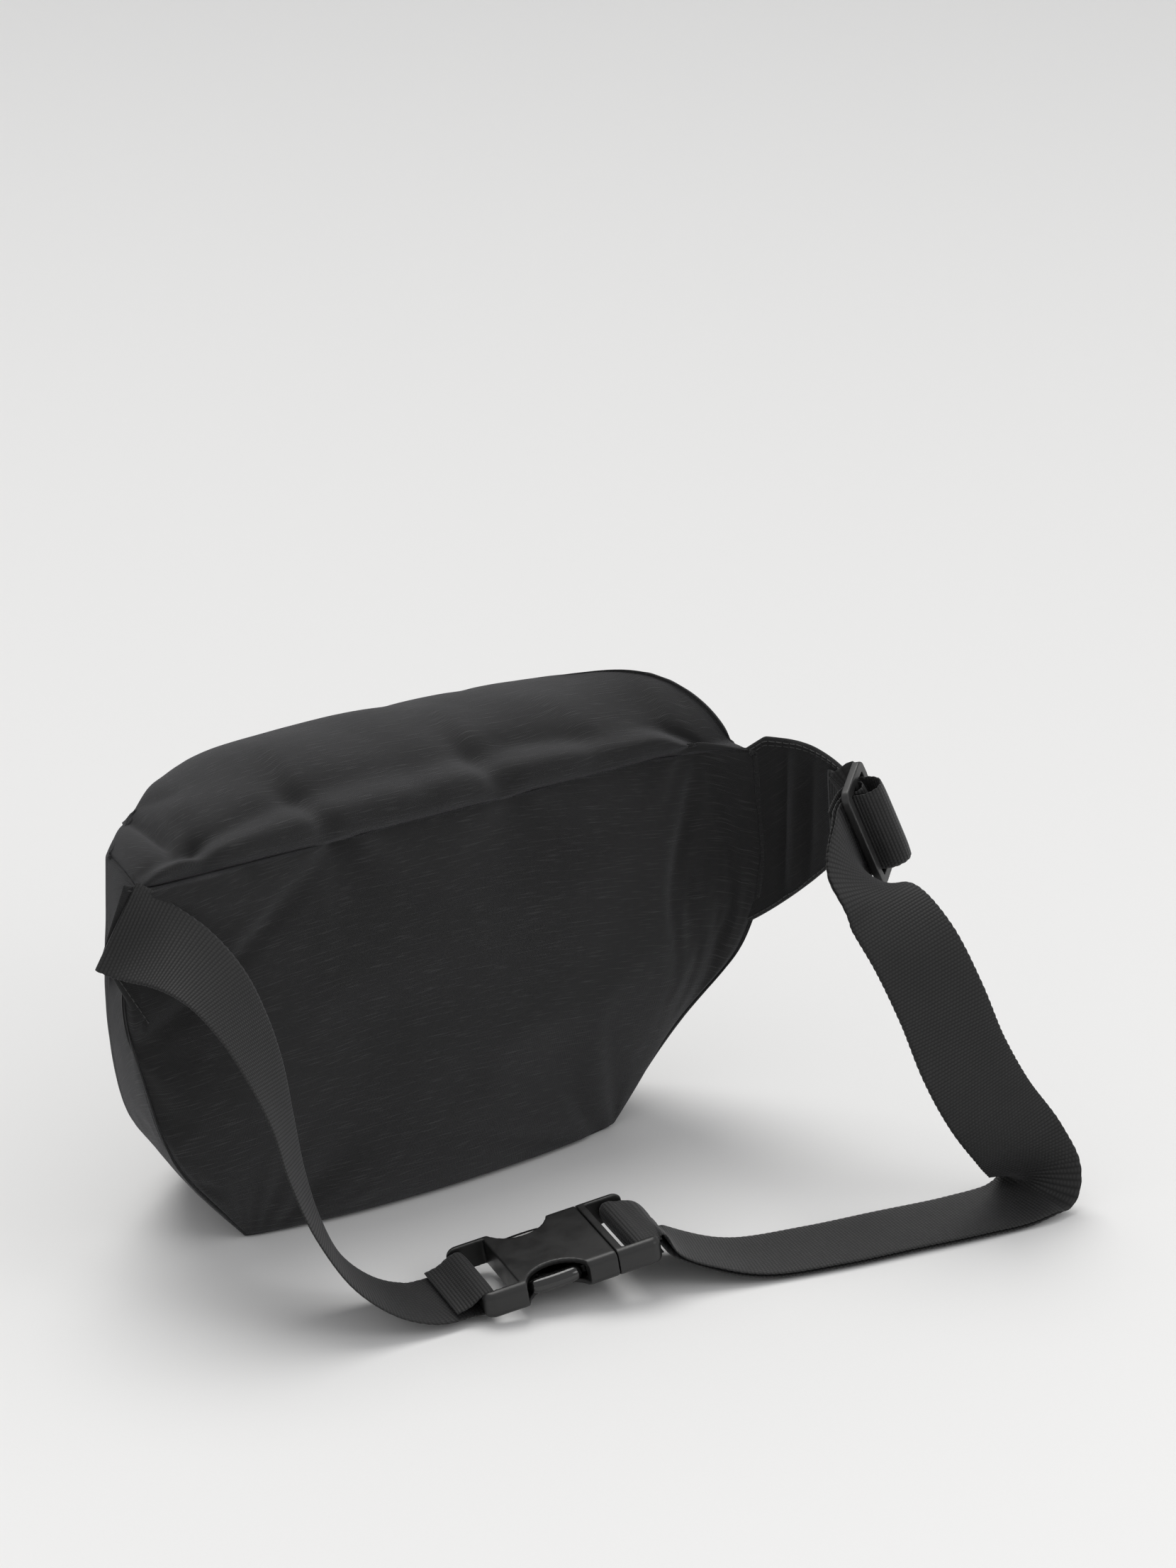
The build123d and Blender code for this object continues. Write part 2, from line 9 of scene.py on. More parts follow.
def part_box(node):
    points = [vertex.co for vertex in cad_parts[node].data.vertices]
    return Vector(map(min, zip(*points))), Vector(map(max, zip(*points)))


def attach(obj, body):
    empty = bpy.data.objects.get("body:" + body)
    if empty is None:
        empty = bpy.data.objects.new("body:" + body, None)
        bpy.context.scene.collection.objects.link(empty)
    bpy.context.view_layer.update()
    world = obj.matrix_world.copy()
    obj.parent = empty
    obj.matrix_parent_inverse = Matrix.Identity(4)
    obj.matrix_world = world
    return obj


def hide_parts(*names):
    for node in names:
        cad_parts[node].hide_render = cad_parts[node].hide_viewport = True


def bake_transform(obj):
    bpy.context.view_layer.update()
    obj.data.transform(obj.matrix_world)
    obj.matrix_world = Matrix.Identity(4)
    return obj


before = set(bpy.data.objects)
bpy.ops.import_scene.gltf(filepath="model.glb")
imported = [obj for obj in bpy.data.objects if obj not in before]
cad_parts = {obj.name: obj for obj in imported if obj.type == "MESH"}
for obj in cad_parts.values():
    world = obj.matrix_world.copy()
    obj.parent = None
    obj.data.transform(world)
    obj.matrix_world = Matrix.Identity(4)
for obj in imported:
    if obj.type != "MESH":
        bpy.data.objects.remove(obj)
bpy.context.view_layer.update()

# All shapes below are in millimetres, drawn with the middle of the back panel's lower edge at (0, 0, 0).
# place() moves them into the frame: the base panel's box gives the origin.
MM = 0.001
SHELL_BACK = 3.2                     # from the back panel's face to the base panel's rear edge
base_low, base_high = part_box("base_panel")
ORIGIN = np.array([(base_low.x + base_high.x) / 2, base_high.y + SHELL_BACK * MM, 0.0])

# ---- Sizes shared with the CAD part ----------------------------------------------------------------
BODY_DEPTH = 86.0
BODY_HALF_LENGTH = 150.0
SEAM_HEIGHT = 160.0
CREST_HEIGHT, CREST_DEPTH = 188.0, 42.0
FRONT_EDGE_HEIGHT = 172.0
LEFT_EDGE = [(0, 90), (38, 120), (80, 134), (108, 141), (160, 134)]        # height, x
RIGHT_EDGE = [(0, -90), (40, -124), (66, -143), (90, -150), (160, -150)]
CURL_START, CURL_RADIUS = 110.0, 55.0
CURL_PANEL_DEG, CURL_END_DEG = 46.0, 98.0
MAIN_ZIP_HEIGHT, MAIN_ZIP_HALF_DEG = 148.0, 42.0
POCKET_DEPTH, POCKET_LOW, POCKET_HIGH, POCKET_HALF_DEG = 9.0, 24.0, 120.0, 29.0
POCKET_ZIP_HEIGHT, POCKET_ZIP_HALF_DEG = 104.0, 24.6
COIL_GAP, COIL_WIDTH, COIL_THICKNESS = 1.2, 2.0, 1.4
WEBBING_WIDTH, WEBBING_THICKNESS, LAYER_GAP = 38.0, 1.4, 0.5
CLOTH_THICKNESS = 1.15               # of the webbing itself, inside the room the CAD part gives it

FRONT_RADIUS = (BODY_HALF_LENGTH ** 2 + BODY_DEPTH ** 2) / (2 * BODY_DEPTH)
FRONT_CENTRE = FRONT_RADIUS - BODY_DEPTH


# ---- Small tools -----------------------------------------------------------------------------------
def place(points):
    """Millimetres in the drawing's own frame to metres in the shared frame."""
    return np.asarray(points, float) * MM + ORIGIN


def smooth_between(knots, values, t):
    """A smooth curve through values at rising knots, read at t; a value may be a row of numbers."""
    slopes = np.gradient(values, knots, axis=0)
    k = np.clip(np.searchsorted(knots, t, side="right") - 1, 0, len(knots) - 2)
    h = knots[k + 1] - knots[k]
    s = (t - knots[k]) / h
    if values.ndim > 1:
        h, s = h[:, None], s[:, None]
    return ((1 + 2 * s) * (1 - s) ** 2 * values[k] + s * (1 - s) ** 2 * h * slopes[k]
            + s * s * (3 - 2 * s) * values[k + 1] + s * s * (s - 1) * h * slopes[k + 1])


def curve_through(points, t):
    """A smooth curve through (position, value) points, read at t and flat beyond both ends."""
    p = np.array(points, float)
    return smooth_between(p[:, 0], p[:, 1], np.clip(np.asarray(t, float), p[0, 0], p[-1, 0]))


def spread(count, crowd=0.55):
    """Positions from 0 to 1 that crowd towards both ends."""
    t = np.linspace(0, 1, count)
    return t - crowd * np.sin(2 * math.pi * t) / (2 * math.pi)


def bump_at(x, centre, width):
    """A smooth hill of height 1."""
    return np.exp(-((np.asarray(x, float) - centre) / width) ** 2)


def wobble(points, size, seed):
    """Smooth noise of about -1 to 1 at each point; size is the length of a ripple in millimetres."""
    offset = Vector((seed * 17.3, seed * 5.1, seed * 9.7))
    return np.array([noise.noise(Vector(p) / size + offset) for p in np.asarray(points).reshape(-1, 3)])


def unit(v):
    return v / np.maximum(np.linalg.norm(v, axis=-1, keepdims=True), 1e-9)


def link(name, data):
    obj = bpy.data.objects.new(name, data)
    bpy.context.scene.collection.objects.link(obj)
    return obj


def shade_smooth(mesh):
    mesh.polygons.foreach_set("use_smooth", [True] * len(mesh.polygons))


def smooth_mesh(name, points, faces):
    """A smooth-shaded mesh through points given in millimetres."""
    mesh = bpy.data.meshes.new(name)
    mesh.from_pydata(place(points).tolist(), [], faces)
    shade_smooth(mesh)
    return mesh


def declare(piece, material, body, slot, *nodes):
    """Paints a piece, tells the frame its body and hides the CAD nodes it stands for; slot is not used."""
    paint(piece, material)
    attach(piece, body)
    if nodes:
        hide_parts(*nodes)
    return piece


def grid_faces(rows, cols, close_rows=False, close_cols=False):
    faces = []
    for i in range(rows if close_rows else rows - 1):
        for j in range(cols if close_cols else cols - 1):
            n, m = (i + 1) % rows, (j + 1) % cols
            faces.append((i * cols + j, i * cols + m, n * cols + m, n * cols + j))
    return faces


def set_uv(mesh, uv):
    """UVs in metres of cloth, one per vertex."""
    layer = mesh.uv_layers.new(name="cloth")
    loops = np.zeros(len(mesh.loops), int)
    mesh.loops.foreach_get("vertex_index", loops)
    layer.data.foreach_set("uv", uv[loops].astype(np.float32).ravel())


def grid_object(name, grid, uv=None, close_cols=False, flip=False, opening=None, caps=False):
    """A quad mesh through a (rows, columns, 3) array of points; uv is (rows, columns, 2) in metres.

    opening is a pair of row numbers and a pair of column numbers between which the cloth is cut away."""
    rows, cols = grid.shape[:2]
    faces = grid_faces(rows, cols, close_cols=close_cols)
    if opening:
        (row_a, row_b), (col_a, col_b) = opening
        faces = [f for f in faces if not (row_a <= f[0] // cols < row_b and col_a <= f[0] % cols < col_b)]
    if caps:
        faces += [tuple(range(cols))[::-1], tuple((rows - 1) * cols + k for k in range(cols))]
    if flip:
        faces = [f[::-1] for f in faces]
    mesh = smooth_mesh(name, grid.reshape(-1, 3), faces)
    if uv is None:
        along = np.zeros((rows, cols))
        across = np.zeros((rows, cols))
        along[1:] = np.cumsum(np.linalg.norm(np.diff(grid, axis=0), axis=-1), axis=0)
        across[:, 1:] = np.cumsum(np.linalg.norm(np.diff(grid, axis=1), axis=-1), axis=1)
        uv = np.stack([across, along], axis=-1) * MM
    set_uv(mesh, uv.reshape(-1, 2))
    return link(name, mesh)


def thicken(obj, thickness, subdivide=1):
    """Gives a sheet of quads its thickness in millimetres, inward from its face."""
    if subdivide:
        sub = obj.modifiers.new("subdivide", "SUBSURF")
        sub.levels = sub.render_levels = subdivide
    solid = obj.modifiers.new("thickness", "SOLIDIFY")
    solid.thickness = thickness * MM
    solid.offset = -1
    return obj


def paint(obj, material):
    obj.data.materials.clear()
    obj.data.materials.append(material)
    return obj


# ---- Materials -------------------------------------------------------------------------------------
class Nodes:
    """Short names for building a material's node tree."""

    def __init__(self, name):
        self.material = bpy.data.materials.new(name)
        self.material.use_nodes = True
        self.tree = self.material.node_tree
        self.shader = self.tree.nodes["Principled BSDF"]

    def add(self, kind, **settings):
        node = self.tree.nodes.new(kind)
        for key, value in settings.items():
            setattr(node, key, value)
        return node

    def set(self, values, node=None):
        """Uniform values of a node's inputs; the shader's when no node is given."""
        for key, value in values.items():
            (node or self.shader).inputs[key].default_value = value

    def join(self, source, target):
        self.tree.links.new(source, target)

    def feed(self, node, values):
        """Numbers or other nodes' outputs into a node's inputs, in their order."""
        for socket, value in zip(node.inputs, values):
            if isinstance(value, (int, float)):
                socket.default_value = value
            else:
                self.join(value, socket)
        return node.outputs[0]

    def math(self, operation, *values):
        return self.feed(self.add("ShaderNodeMath", operation=operation), values)

    def noise(self, vector, scale, detail=2.0, roughness=0.5):
        node = self.add("ShaderNodeTexNoise")
        self.set({"Scale": scale, "Detail": detail, "Roughness": roughness}, node)
        self.join(vector, node.inputs["Vector"])
        return node.outputs["Fac"]

    def ramp(self, value, low, high, start=0.0, end=1.0):
        node = self.add("ShaderNodeMapRange")
        self.join(value, node.inputs["Value"])
        self.set({"From Min": start, "From Max": end, "To Min": low, "To Max": high}, node)
        return node.outputs[0]

    def grey(self, value, tint=(1.0, 1.0, 1.0)):
        """A grey of that brightness, tinted."""
        node = self.add("ShaderNodeCombineColor")
        for k in range(3):
            self.join(self.math("MULTIPLY", value, tint[k]), node.inputs[k])
        return node.outputs[0]

    def bump(self, height, strength, distance):
        node = self.add("ShaderNodeBump")
        self.set({"Strength": strength, "Distance": distance}, node)
        self.join(height, node.inputs["Height"])
        self.join(node.outputs[0], self.shader.inputs["Normal"])

    def uv(self):
        """U and V of the cloth map, in metres."""
        split = self.add("ShaderNodeSeparateXYZ")
        self.join(self.add("ShaderNodeUVMap", uv_map="cloth").outputs[0], split.inputs[0])
        return split.outputs[0], split.outputs[1]

    def object_point(self):
        return self.add("ShaderNodeTexCoord").outputs["Object"]

    def vector(self, x, y):
        return self.feed(self.add("ShaderNodeCombineXYZ"), (x, y, 0.0))


CLOTH_TINT = (1.0, 1.0, 1.02)
CLOTH_ROUGHNESS = 0.8
RIB = 1.4                            # of the webbing, from rib to rib


def woven_cloth(name, brightness, yarn=0.62, sheen=0.25, slub=1.0):
    """Plain-weave cloth: over-and-under yarns, thick places in the crosswise yarns, faint wear. The yarns'
    crowns are painted lighter and the hollows between them darker (painted highlight and painted shade), and
    the thick places are painted paler still (painted highlight).
    """
    n = Nodes(name)
    u, v = n.uv()
    pitch = 2 * math.pi / (yarn * MM)
    drift = n.math("MULTIPLY", n.noise(n.vector(u, v), 45.0), 0.6)
    warp = n.math("SINE", n.math("ADD", n.math("MULTIPLY", u, pitch), drift))
    weft = n.math("SINE", n.math("ADD", n.math("MULTIPLY", v, pitch), drift))
    weave = n.math("MULTIPLY", warp, weft)
    streak_at = n.vector(n.math("MULTIPLY", u, 0.055), v)
    streak = n.noise(streak_at, 1500.0, detail=1.0)
    slubs = n.ramp(streak, 0.0, 1.0, 0.56, 0.78)
    rows = n.math("ABSOLUTE", weft)
    lines = n.math("MULTIPLY", slubs, n.ramp(rows, 0.4, 1.0))
    height = n.math("ADD", n.math("MULTIPLY", weave, 0.5), n.math("MULTIPLY", lines, 1.2 * slub))
    n.bump(height, 0.9, 0.00020)
    mottled = n.ramp(n.noise(n.vector(u, v), 26.0, detail=4.0), 0.88, 1.14, 0.3, 0.7)
    # Painted shade and highlight: the weave's hollows are darker and its crowns lighter in colour.
    lit = n.ramp(weave, 0.50, 1.35, -1.0, 1.0)
    bright = n.math("MULTIPLY", n.math("MULTIPLY", mottled, lit), brightness)
    # Painted highlight: the thick places in the crosswise yarns are painted paler.
    bright = n.math("ADD", bright, n.math("MULTIPLY", lines, 1.9 * brightness * slub))
    n.join(n.grey(bright, CLOTH_TINT), n.shader.inputs["Base Color"])
    n.join(n.ramp(slubs, CLOTH_ROUGHNESS, CLOTH_ROUGHNESS - 0.14), n.shader.inputs["Roughness"])
    n.set({"Sheen Weight": sheen, "Sheen Roughness": 0.45, "Sheen Tint": (0.55, 0.55, 0.58, 1.0),
           "Specular IOR Level": 0.35})
    return n.material


def ribbed_webbing(name, brightness):
    """Webbing with crosswise ribs, each split into short yarn crowns, set off from row to row. The crowns are
    painted lighter and the grooves darker: painted highlight and painted shade.
    """
    n = Nodes(name)
    u, v = n.uv()
    row = n.math("FLOOR", n.math("DIVIDE", v, RIB * MM))
    odd = n.math("MULTIPLY", n.math("MODULO", row, 2.0), math.pi)
    ribs = n.math("ABSOLUTE", n.math("SINE", n.math("MULTIPLY", v, math.pi / (RIB * MM))))
    crowns = n.math("SINE", n.math("ADD", n.math("MULTIPLY", u, 2 * math.pi / (1.5 * MM)), odd))
    height = n.math("MULTIPLY", ribs, n.ramp(crowns, 0.6, 1.0, -1.0, 1.0))
    n.bump(height, 0.9, 0.0003)
    mottled = n.ramp(n.noise(n.vector(u, v), 60.0, detail=4.0), 0.85, 1.15, 0.3, 0.7)
    # Painted shade and highlight: the grooves between the crowns are darker, the crowns lighter.
    lit = n.ramp(height, 0.35, 1.7)
    n.join(n.grey(n.math("MULTIPLY", n.math("MULTIPLY", mottled, lit), brightness)),
           n.shader.inputs["Base Color"])
    n.join(n.ramp(height, 0.75, 0.55), n.shader.inputs["Roughness"])
    n.set({"Sheen Weight": 0.15, "Sheen Roughness": 0.5, "Sheen Tint": (0.6, 0.6, 0.62, 1.0),
           "Specular IOR Level": 0.4})
    return n.material


def moulded_plastic(name, brightness, roughness, grain=0.5, coat=0.0):
    """Moulded plastic: fine spark-eroded grain, slightly uneven gloss, paler worn edges."""
    n = Nodes(name)
    at = n.object_point()
    fine = n.noise(at, 2600.0, detail=3.0, roughness=0.6)
    broad = n.noise(at, 120.0, detail=3.0)
    n.bump(fine, grain, 0.00006)
    pointy = n.add("ShaderNodeNewGeometry").outputs["Pointiness"]
    worn = n.ramp(pointy, 0.0, 0.6, 0.515, 0.6)
    bright = n.math("MULTIPLY", n.ramp(broad, 0.85, 1.15), brightness)
    bright = n.math("ADD", bright, n.math("MULTIPLY", worn, 0.6 * brightness))
    n.join(n.grey(bright), n.shader.inputs["Base Color"])
    n.join(n.ramp(broad, roughness - 0.06, roughness + 0.06, 0.3, 0.7), n.shader.inputs["Roughness"])
    n.set({"Specular IOR Level": 0.5, "Coat Weight": coat, "Coat Roughness": 0.15})
    return n.material


def foam_material(name):
    n = Nodes(name)
    at = n.object_point()
    cells = n.add("ShaderNodeTexVoronoi")
    n.set({"Scale": 900.0}, cells)
    n.join(at, cells.inputs["Vector"])
    n.bump(cells.outputs["Distance"], 0.6, 0.0003)
    # Painted shade: the hollow middle of each cell is painted darker than its rim.
    n.join(n.grey(n.ramp(cells.outputs["Distance"], 0.09, 0.14)), n.shader.inputs["Base Color"])
    n.set({"Roughness": 0.95})
    return n.material


def painted_metal(name):
    n = Nodes(name)
    at = n.object_point()
    speck = n.noise(at, 1800.0, detail=4.0)
    n.bump(speck, 0.25, 0.00004)
    worn = n.ramp(n.add("ShaderNodeNewGeometry").outputs["Pointiness"], 0.0, 1.0, 0.52, 0.62)
    n.join(n.grey(n.math("ADD", n.ramp(speck, 0.012, 0.02), n.math("MULTIPLY", worn, 0.05))),
           n.shader.inputs["Base Color"])
    n.join(n.ramp(worn, 0.38, 0.26), n.shader.inputs["Roughness"])
    n.set({"Metallic": 0.35, "Coat Weight": 0.4, "Coat Roughness": 0.25})
    return n.material


def thread_material(name, brightness):
    n = Nodes(name)
    at = n.object_point()
    twist = n.noise(at, 3000.0, detail=2.0)
    n.bump(twist, 0.5, 0.0001)
    n.join(n.grey(n.ramp(twist, 0.8 * brightness, 1.3 * brightness)), n.shader.inputs["Base Color"])
    n.set({"Roughness": 0.6, "Sheen Weight": 0.2})
    return n.material


BACK_CLOTH = woven_cloth("back_cloth", 0.0105, slub=1.0)
SHELL_CLOTH = woven_cloth("shell_cloth", 0.0112, slub=0.8, sheen=0.3)
# Painted shade: the wings get the shell's cloth painted darker, with fainter thick places and less sheen,
# because the wings lie in shade.
SHADED_WING_CLOTH = woven_cloth("shaded_wing_cloth", 0.0095, slub=0.5, sheen=0.18)
LINING_CLOTH = woven_cloth("lining_cloth", 0.05, yarn=0.3, slub=0.2)
TAPE_CLOTH = woven_cloth("tape_cloth", 0.011, yarn=0.5, slub=0.0)
WEBBING = ribbed_webbing("webbing_weave", 0.0085)
BUCKLE = moulded_plastic("buckle_plastic", 0.0075, 0.40, grain=0.8, coat=0.1)
GLIDE = moulded_plastic("glide_plastic", 0.014, 0.42, grain=0.35, coat=0.05)
PRONG = moulded_plastic("prong_plastic", 0.006, 0.12, grain=0.08, coat=0.5)
COIL = moulded_plastic("coil_nylon", 0.014, 0.35, grain=0.2)
ZIP_METAL = painted_metal("zip_metal")
FOAM = foam_material("foam_cells")
THREAD = thread_material("thread", 0.014)


# ---- The bag's outline -----------------------------------------------------------------------------
def back_y(x):
    """The back panel is flat, then curls towards the wearer at its right end."""
    past = np.clip(-CURL_START - np.asarray(x, float), 0, 0.98 * CURL_RADIUS)
    return CURL_RADIUS - np.sqrt(CURL_RADIUS ** 2 - past ** 2)


def front_y(x):
    return FRONT_CENTRE - np.sqrt(FRONT_RADIUS ** 2 - np.asarray(x, float) ** 2)


def circle_through(a, b, c):
    """Centre and radius of the circle through three points of a plane."""
    (ax, ay), (bx, by), (cx, cy) = a, b, c
    d = 2 * (ax * (by - cy) + bx * (cy - ay) + cx * (ay - by))
    aa, bb, cc = ax ** 2 + ay ** 2, bx ** 2 + by ** 2, cx ** 2 + cy ** 2
    ux = (aa * (by - cy) + bb * (cy - ay) + cc * (ay - by)) / d
    uy = (aa * (cx - bx) + bb * (ax - cx) + cc * (bx - ax)) / d
    return ux, uy, math.hypot(ax - ux, ay - uy)


LEFT_FOOT, RIGHT_FOOT = (92.0, 21.0), (46.0, 10.0)      # height and reach of each end's rounded corner
BELLY = 8.5                                             # how far the back's lower edge hangs out
ROOF_Y, ROOF_Z, ROOF_RADIUS = circle_through(
    (0, SEAM_HEIGHT), (-CREST_DEPTH, CREST_HEIGHT), (-BODY_DEPTH, FRONT_EDGE_HEIGHT))
# Share of the roof's rise, from end to end.
ROOF_FULLNESS = [(-150, 1.05), (-131, 1.0), (-105, 0.84), (-65, 0.81), (0, 0.84), (50, 0.84), (74, 0.70),
                 (92, 0.55), (106, 0.42), (134, 0.34)]


def top_z(x, y):
    """Height of the roof over a point of the plan."""
    y = np.minimum(y, 0)
    rise = ROOF_Z + np.sqrt(ROOF_RADIUS ** 2 - (y - ROOF_Y) ** 2) - SEAM_HEIGHT
    return SEAM_HEIGHT + rise * curve_through(ROOF_FULLNESS, x)


ALONG, THROUGH, UP = spread(100), spread(26), spread(54)
ZIP_ROWS = (43, 46)                  # the wall's rows along the two folded edges beside the main zip
ZIP_EDGE = 5.8                       # from the zip's middle to those edges


def wall_point(x_share, y_share, v):
    """A point of the bag's wall: share of the way along and through the bag, and up it."""
    level = v * SEAM_HEIGHT
    left, right = curve_through(LEFT_EDGE, level), curve_through(RIGHT_EDGE, level)
    front_share = np.clip(y_share, 0, 1) ** 1.3
    left = left - LEFT_FOOT[1] * front_share * np.clip(1 - level / LEFT_FOOT[0], 0, 1) ** 2
    right = right + RIGHT_FOOT[1] * front_share * np.clip(1 - level / RIGHT_FOOT[0], 0, 1) ** 2
    x = right + (left - right) * x_share
    belly = BELLY * np.clip(1 - level / 90, 0, 1) ** 1.5 * np.clip(4 * x_share * (1 - x_share), 0, 1) ** 0.7
    y_back = back_y(x) + belly
    y = y_back + (front_y(x) - y_back) * y_share
    low_share, high_share = UP[list(ZIP_ROWS)]
    low_edge, high_edge = MAIN_ZIP_HEIGHT - ZIP_EDGE, MAIN_ZIP_HEIGHT + ZIP_EDGE
    between = low_edge + (high_edge - low_edge) * (v - low_share) / (high_share - low_share)
    above = high_edge + (top_z(x, y) - high_edge) * (v - high_share) / (1 - high_share)
    z = np.where(v < low_share, low_edge * v / low_share, np.where(v < high_share, between, above))
    return np.stack(np.broadcast_arrays(x, y, z), axis=-1)


def body_panels():
    """Grids of the six cloth panels; rows run up or from back to front, columns run along."""
    along, up = np.meshgrid(ALONG, UP)
    through, up_side = np.meshgrid(THROUGH, UP)
    along_flat, through_flat = np.meshgrid(ALONG, THROUGH)
    return {
        "back": wall_point(along, 0.0, up),
        "front": wall_point(along, 1.0, up),
        "left": wall_point(1.0, through, up_side),
        "right": wall_point(0.0, through, up_side),
        "top": wall_point(along_flat, through_flat, 1.0),
        "base": wall_point(along_flat, through_flat, 0.0),
    }


def merge(panels):
    """One closed mesh from the panels: points, faces, and each panel's grid of point numbers."""
    known, points, numbers, faces = {}, [], {}, []
    for name, grid in panels.items():
        flat = grid.reshape(-1, 3)
        ids = np.zeros(len(flat), int)
        for k, p in enumerate(flat):
            key = tuple(np.round(p, 3))
            if key not in known:
                known[key] = len(points)
                points.append(p)
            ids[k] = known[key]
        numbers[name] = ids.reshape(grid.shape[:2])
        outward = name in ("front", "right", "base")
        for face in grid_faces(*grid.shape[:2]):
            corners = [int(ids[c]) for c in face]
            if len(set(corners)) == 4:
                faces.append(corners if outward else corners[::-1])
    return np.array(points), faces, numbers


def point_normals(points, faces):
    f = np.array(faces)
    across = np.cross(points[f[:, 2]] - points[f[:, 0]], points[f[:, 3]] - points[f[:, 1]])
    normals = np.zeros_like(points)
    for k in range(4):
        np.add.at(normals, f[:, k], across)
    return unit(normals)


def middle(a, b, power=0.5):
    """1 in the middle of a panel and 0 at its edges."""
    return (16 * a * (1 - a) * b * (1 - b)) ** power


# Folds that run down from the seam: place along the bag, width and depth, in millimetres. The roof's
# folds also lean as they run forward.
BACK_FOLDS = [(44, 5.5, -2.2), (33, 5, 1.3), (-38, 6, -1.8), (-52, 7, 1.0), (-129, 6, -2.0), (-118, 6, 1.4),
              (86, 6, -1.2)]
ROOF_FOLDS = [(46, 4.5, -4.6, 0.55), (-37, 5, -5.0, 0.45), (-126, 6, -4.0, 0.3), (4, 6, -1.6, -0.3),
              (-85, 7, -2.0, 0.3)]
SEAM_SINK = 1.6


def crown_and_fold(points, normals, numbers):
    """The bag's fullness and its large folds, as moves along the normals, in millimetres."""
    move = np.zeros(len(points))
    along, up = np.meshgrid(ALONG, UP)
    through, up_side = np.meshgrid(THROUGH, UP)
    along_flat, through_flat = np.meshgrid(ALONG, THROUGH)

    def press(name, amount):
        ids = numbers[name].ravel()
        move[ids] += np.asarray(amount).ravel()

    back = points[numbers["back"]]
    x, z = back[..., 0], back[..., 2]
    push = 3.5 * middle(along, up, 0.6) + 3.0 * bump_at(z, 12, 16) * middle(along, along, 0.4)
    ripple = wobble(back, 42, 1).reshape(x.shape) * 1.6 * middle(along, up, 0.35)
    below_seam = np.clip((SEAM_HEIGHT - z) / 45, 0, 1)
    for centre, width, depth in BACK_FOLDS:
        lean = 0.25 * (SEAM_HEIGHT - z) * np.sign(centre)
        push = push + depth * bump_at(x + lean, centre, width * (1 + 1.5 * below_seam)) * (1 - below_seam)
    corner = (x - 92) * 0.58 + (z - 125) * 0.82        # beyond the fold that leads to the left wing
    push = push - 2.2 * bump_at(corner, 0, 5) * (z > 60) + 2.5 * np.clip(corner / 30, 0, 1)
    dimple = (x + 74) * 0.8 - (z - 10) * 0.6
    push = push - 2.6 * bump_at(dimple, 0, 4) * bump_at(z, 12, 20)
    press("back", push + ripple)

    front = points[numbers["front"]]
    level = front[..., 2]
    free = np.clip(np.abs(level - MAIN_ZIP_HEIGHT) / 22 - 0.35, 0, 1)
    ripple = wobble(front, 36, 2).reshape(level.shape) * 1.4
    press("front", (3.0 * middle(along, up, 0.5) + ripple * middle(along, up, 0.3)) * free + 1.1)

    left = points[numbers["left"]]
    fold = -3.0 * bump_at(left[..., 2] - 0.5 * left[..., 1], 128, 6) - 2.2 * bump_at(left[..., 2], 52, 8)
    press("left", 0.5 * middle(through, up_side, 0.5) + fold * middle(through, through, 0.5))
    press("right", 2.0 * middle(through, up_side, 0.5))

    top = points[numbers["top"]]
    x, y = top[..., 0], top[..., 1]
    edge = middle(along_flat, through_flat, 0.3)
    ends = np.clip(along_flat * 14, 0, 1) * np.clip((1 - along_flat) * 14, 0, 1)
    drift = wobble(np.stack([x, 0 * x, 0 * x], axis=-1), 30, 4).reshape(x.shape)
    roll = (5.0 + 1.6 * drift) * bump_at(through_flat, 0.075, 0.06) * ends
    behind_roll = 0.19 + 0.03 * drift
    valley = -3.4 * bump_at(through_flat, behind_roll, 0.045) * (
        bump_at(x, 62, 55) + 0.7 * bump_at(x, -50, 30) + 0.8 * bump_at(x, -126, 16))
    folds = wobble(top * np.array([1, 1.6, 1]), 34, 3).reshape(x.shape) * 1.8
    for centre, width, depth, lean in ROOF_FOLDS:
        fold = bump_at(x + lean * y, centre, width * (1 + 0.03 * np.abs(y)))
        folds = folds + depth * fold * bump_at(through_flat, 0.05, 0.22)
    pinch = -7.0 * bump_at(x, 104, 5) * bump_at(through_flat, 0.14, 0.12)
    end_crease = -5.5 * bump_at(x, 112, 3.6) * np.clip((through_flat - 0.12) / 0.3, 0, 1)
    end_strip = 3.6 * bump_at(x, 123, 7) + 2.6 * bump_at(x, 96, 8) * np.clip((through_flat - 0.2) / 0.3, 0, 1)
    press("top", (2.0 * middle(along_flat, through_flat, 0.5) + folds + valley + pinch + end_crease
                  + end_strip) * edge + roll)

    seam = np.concatenate([numbers["top"][0], numbers["back"][:, 0], numbers["back"][:, -1],
                           numbers["back"][0], numbers["top"][-1], numbers["front"][:, 0],
                           numbers["front"][:, -1], numbers["front"][0], numbers["top"][:, 0],
                           numbers["top"][:, -1]])
    seam = np.unique(seam)
    move[seam] = -SEAM_SINK
    return points + normals * move[:, None], seam


CLOTH_FRAMES = 16
CLOTH_MASS = 0.02
CLOTH_PRESSURE = 6.0
EXTRA_CLOTH = 0.035
CLOTH_CAP = 7.0
PANEL_CLOTH = 1.1                    # thickness of the body's cloth


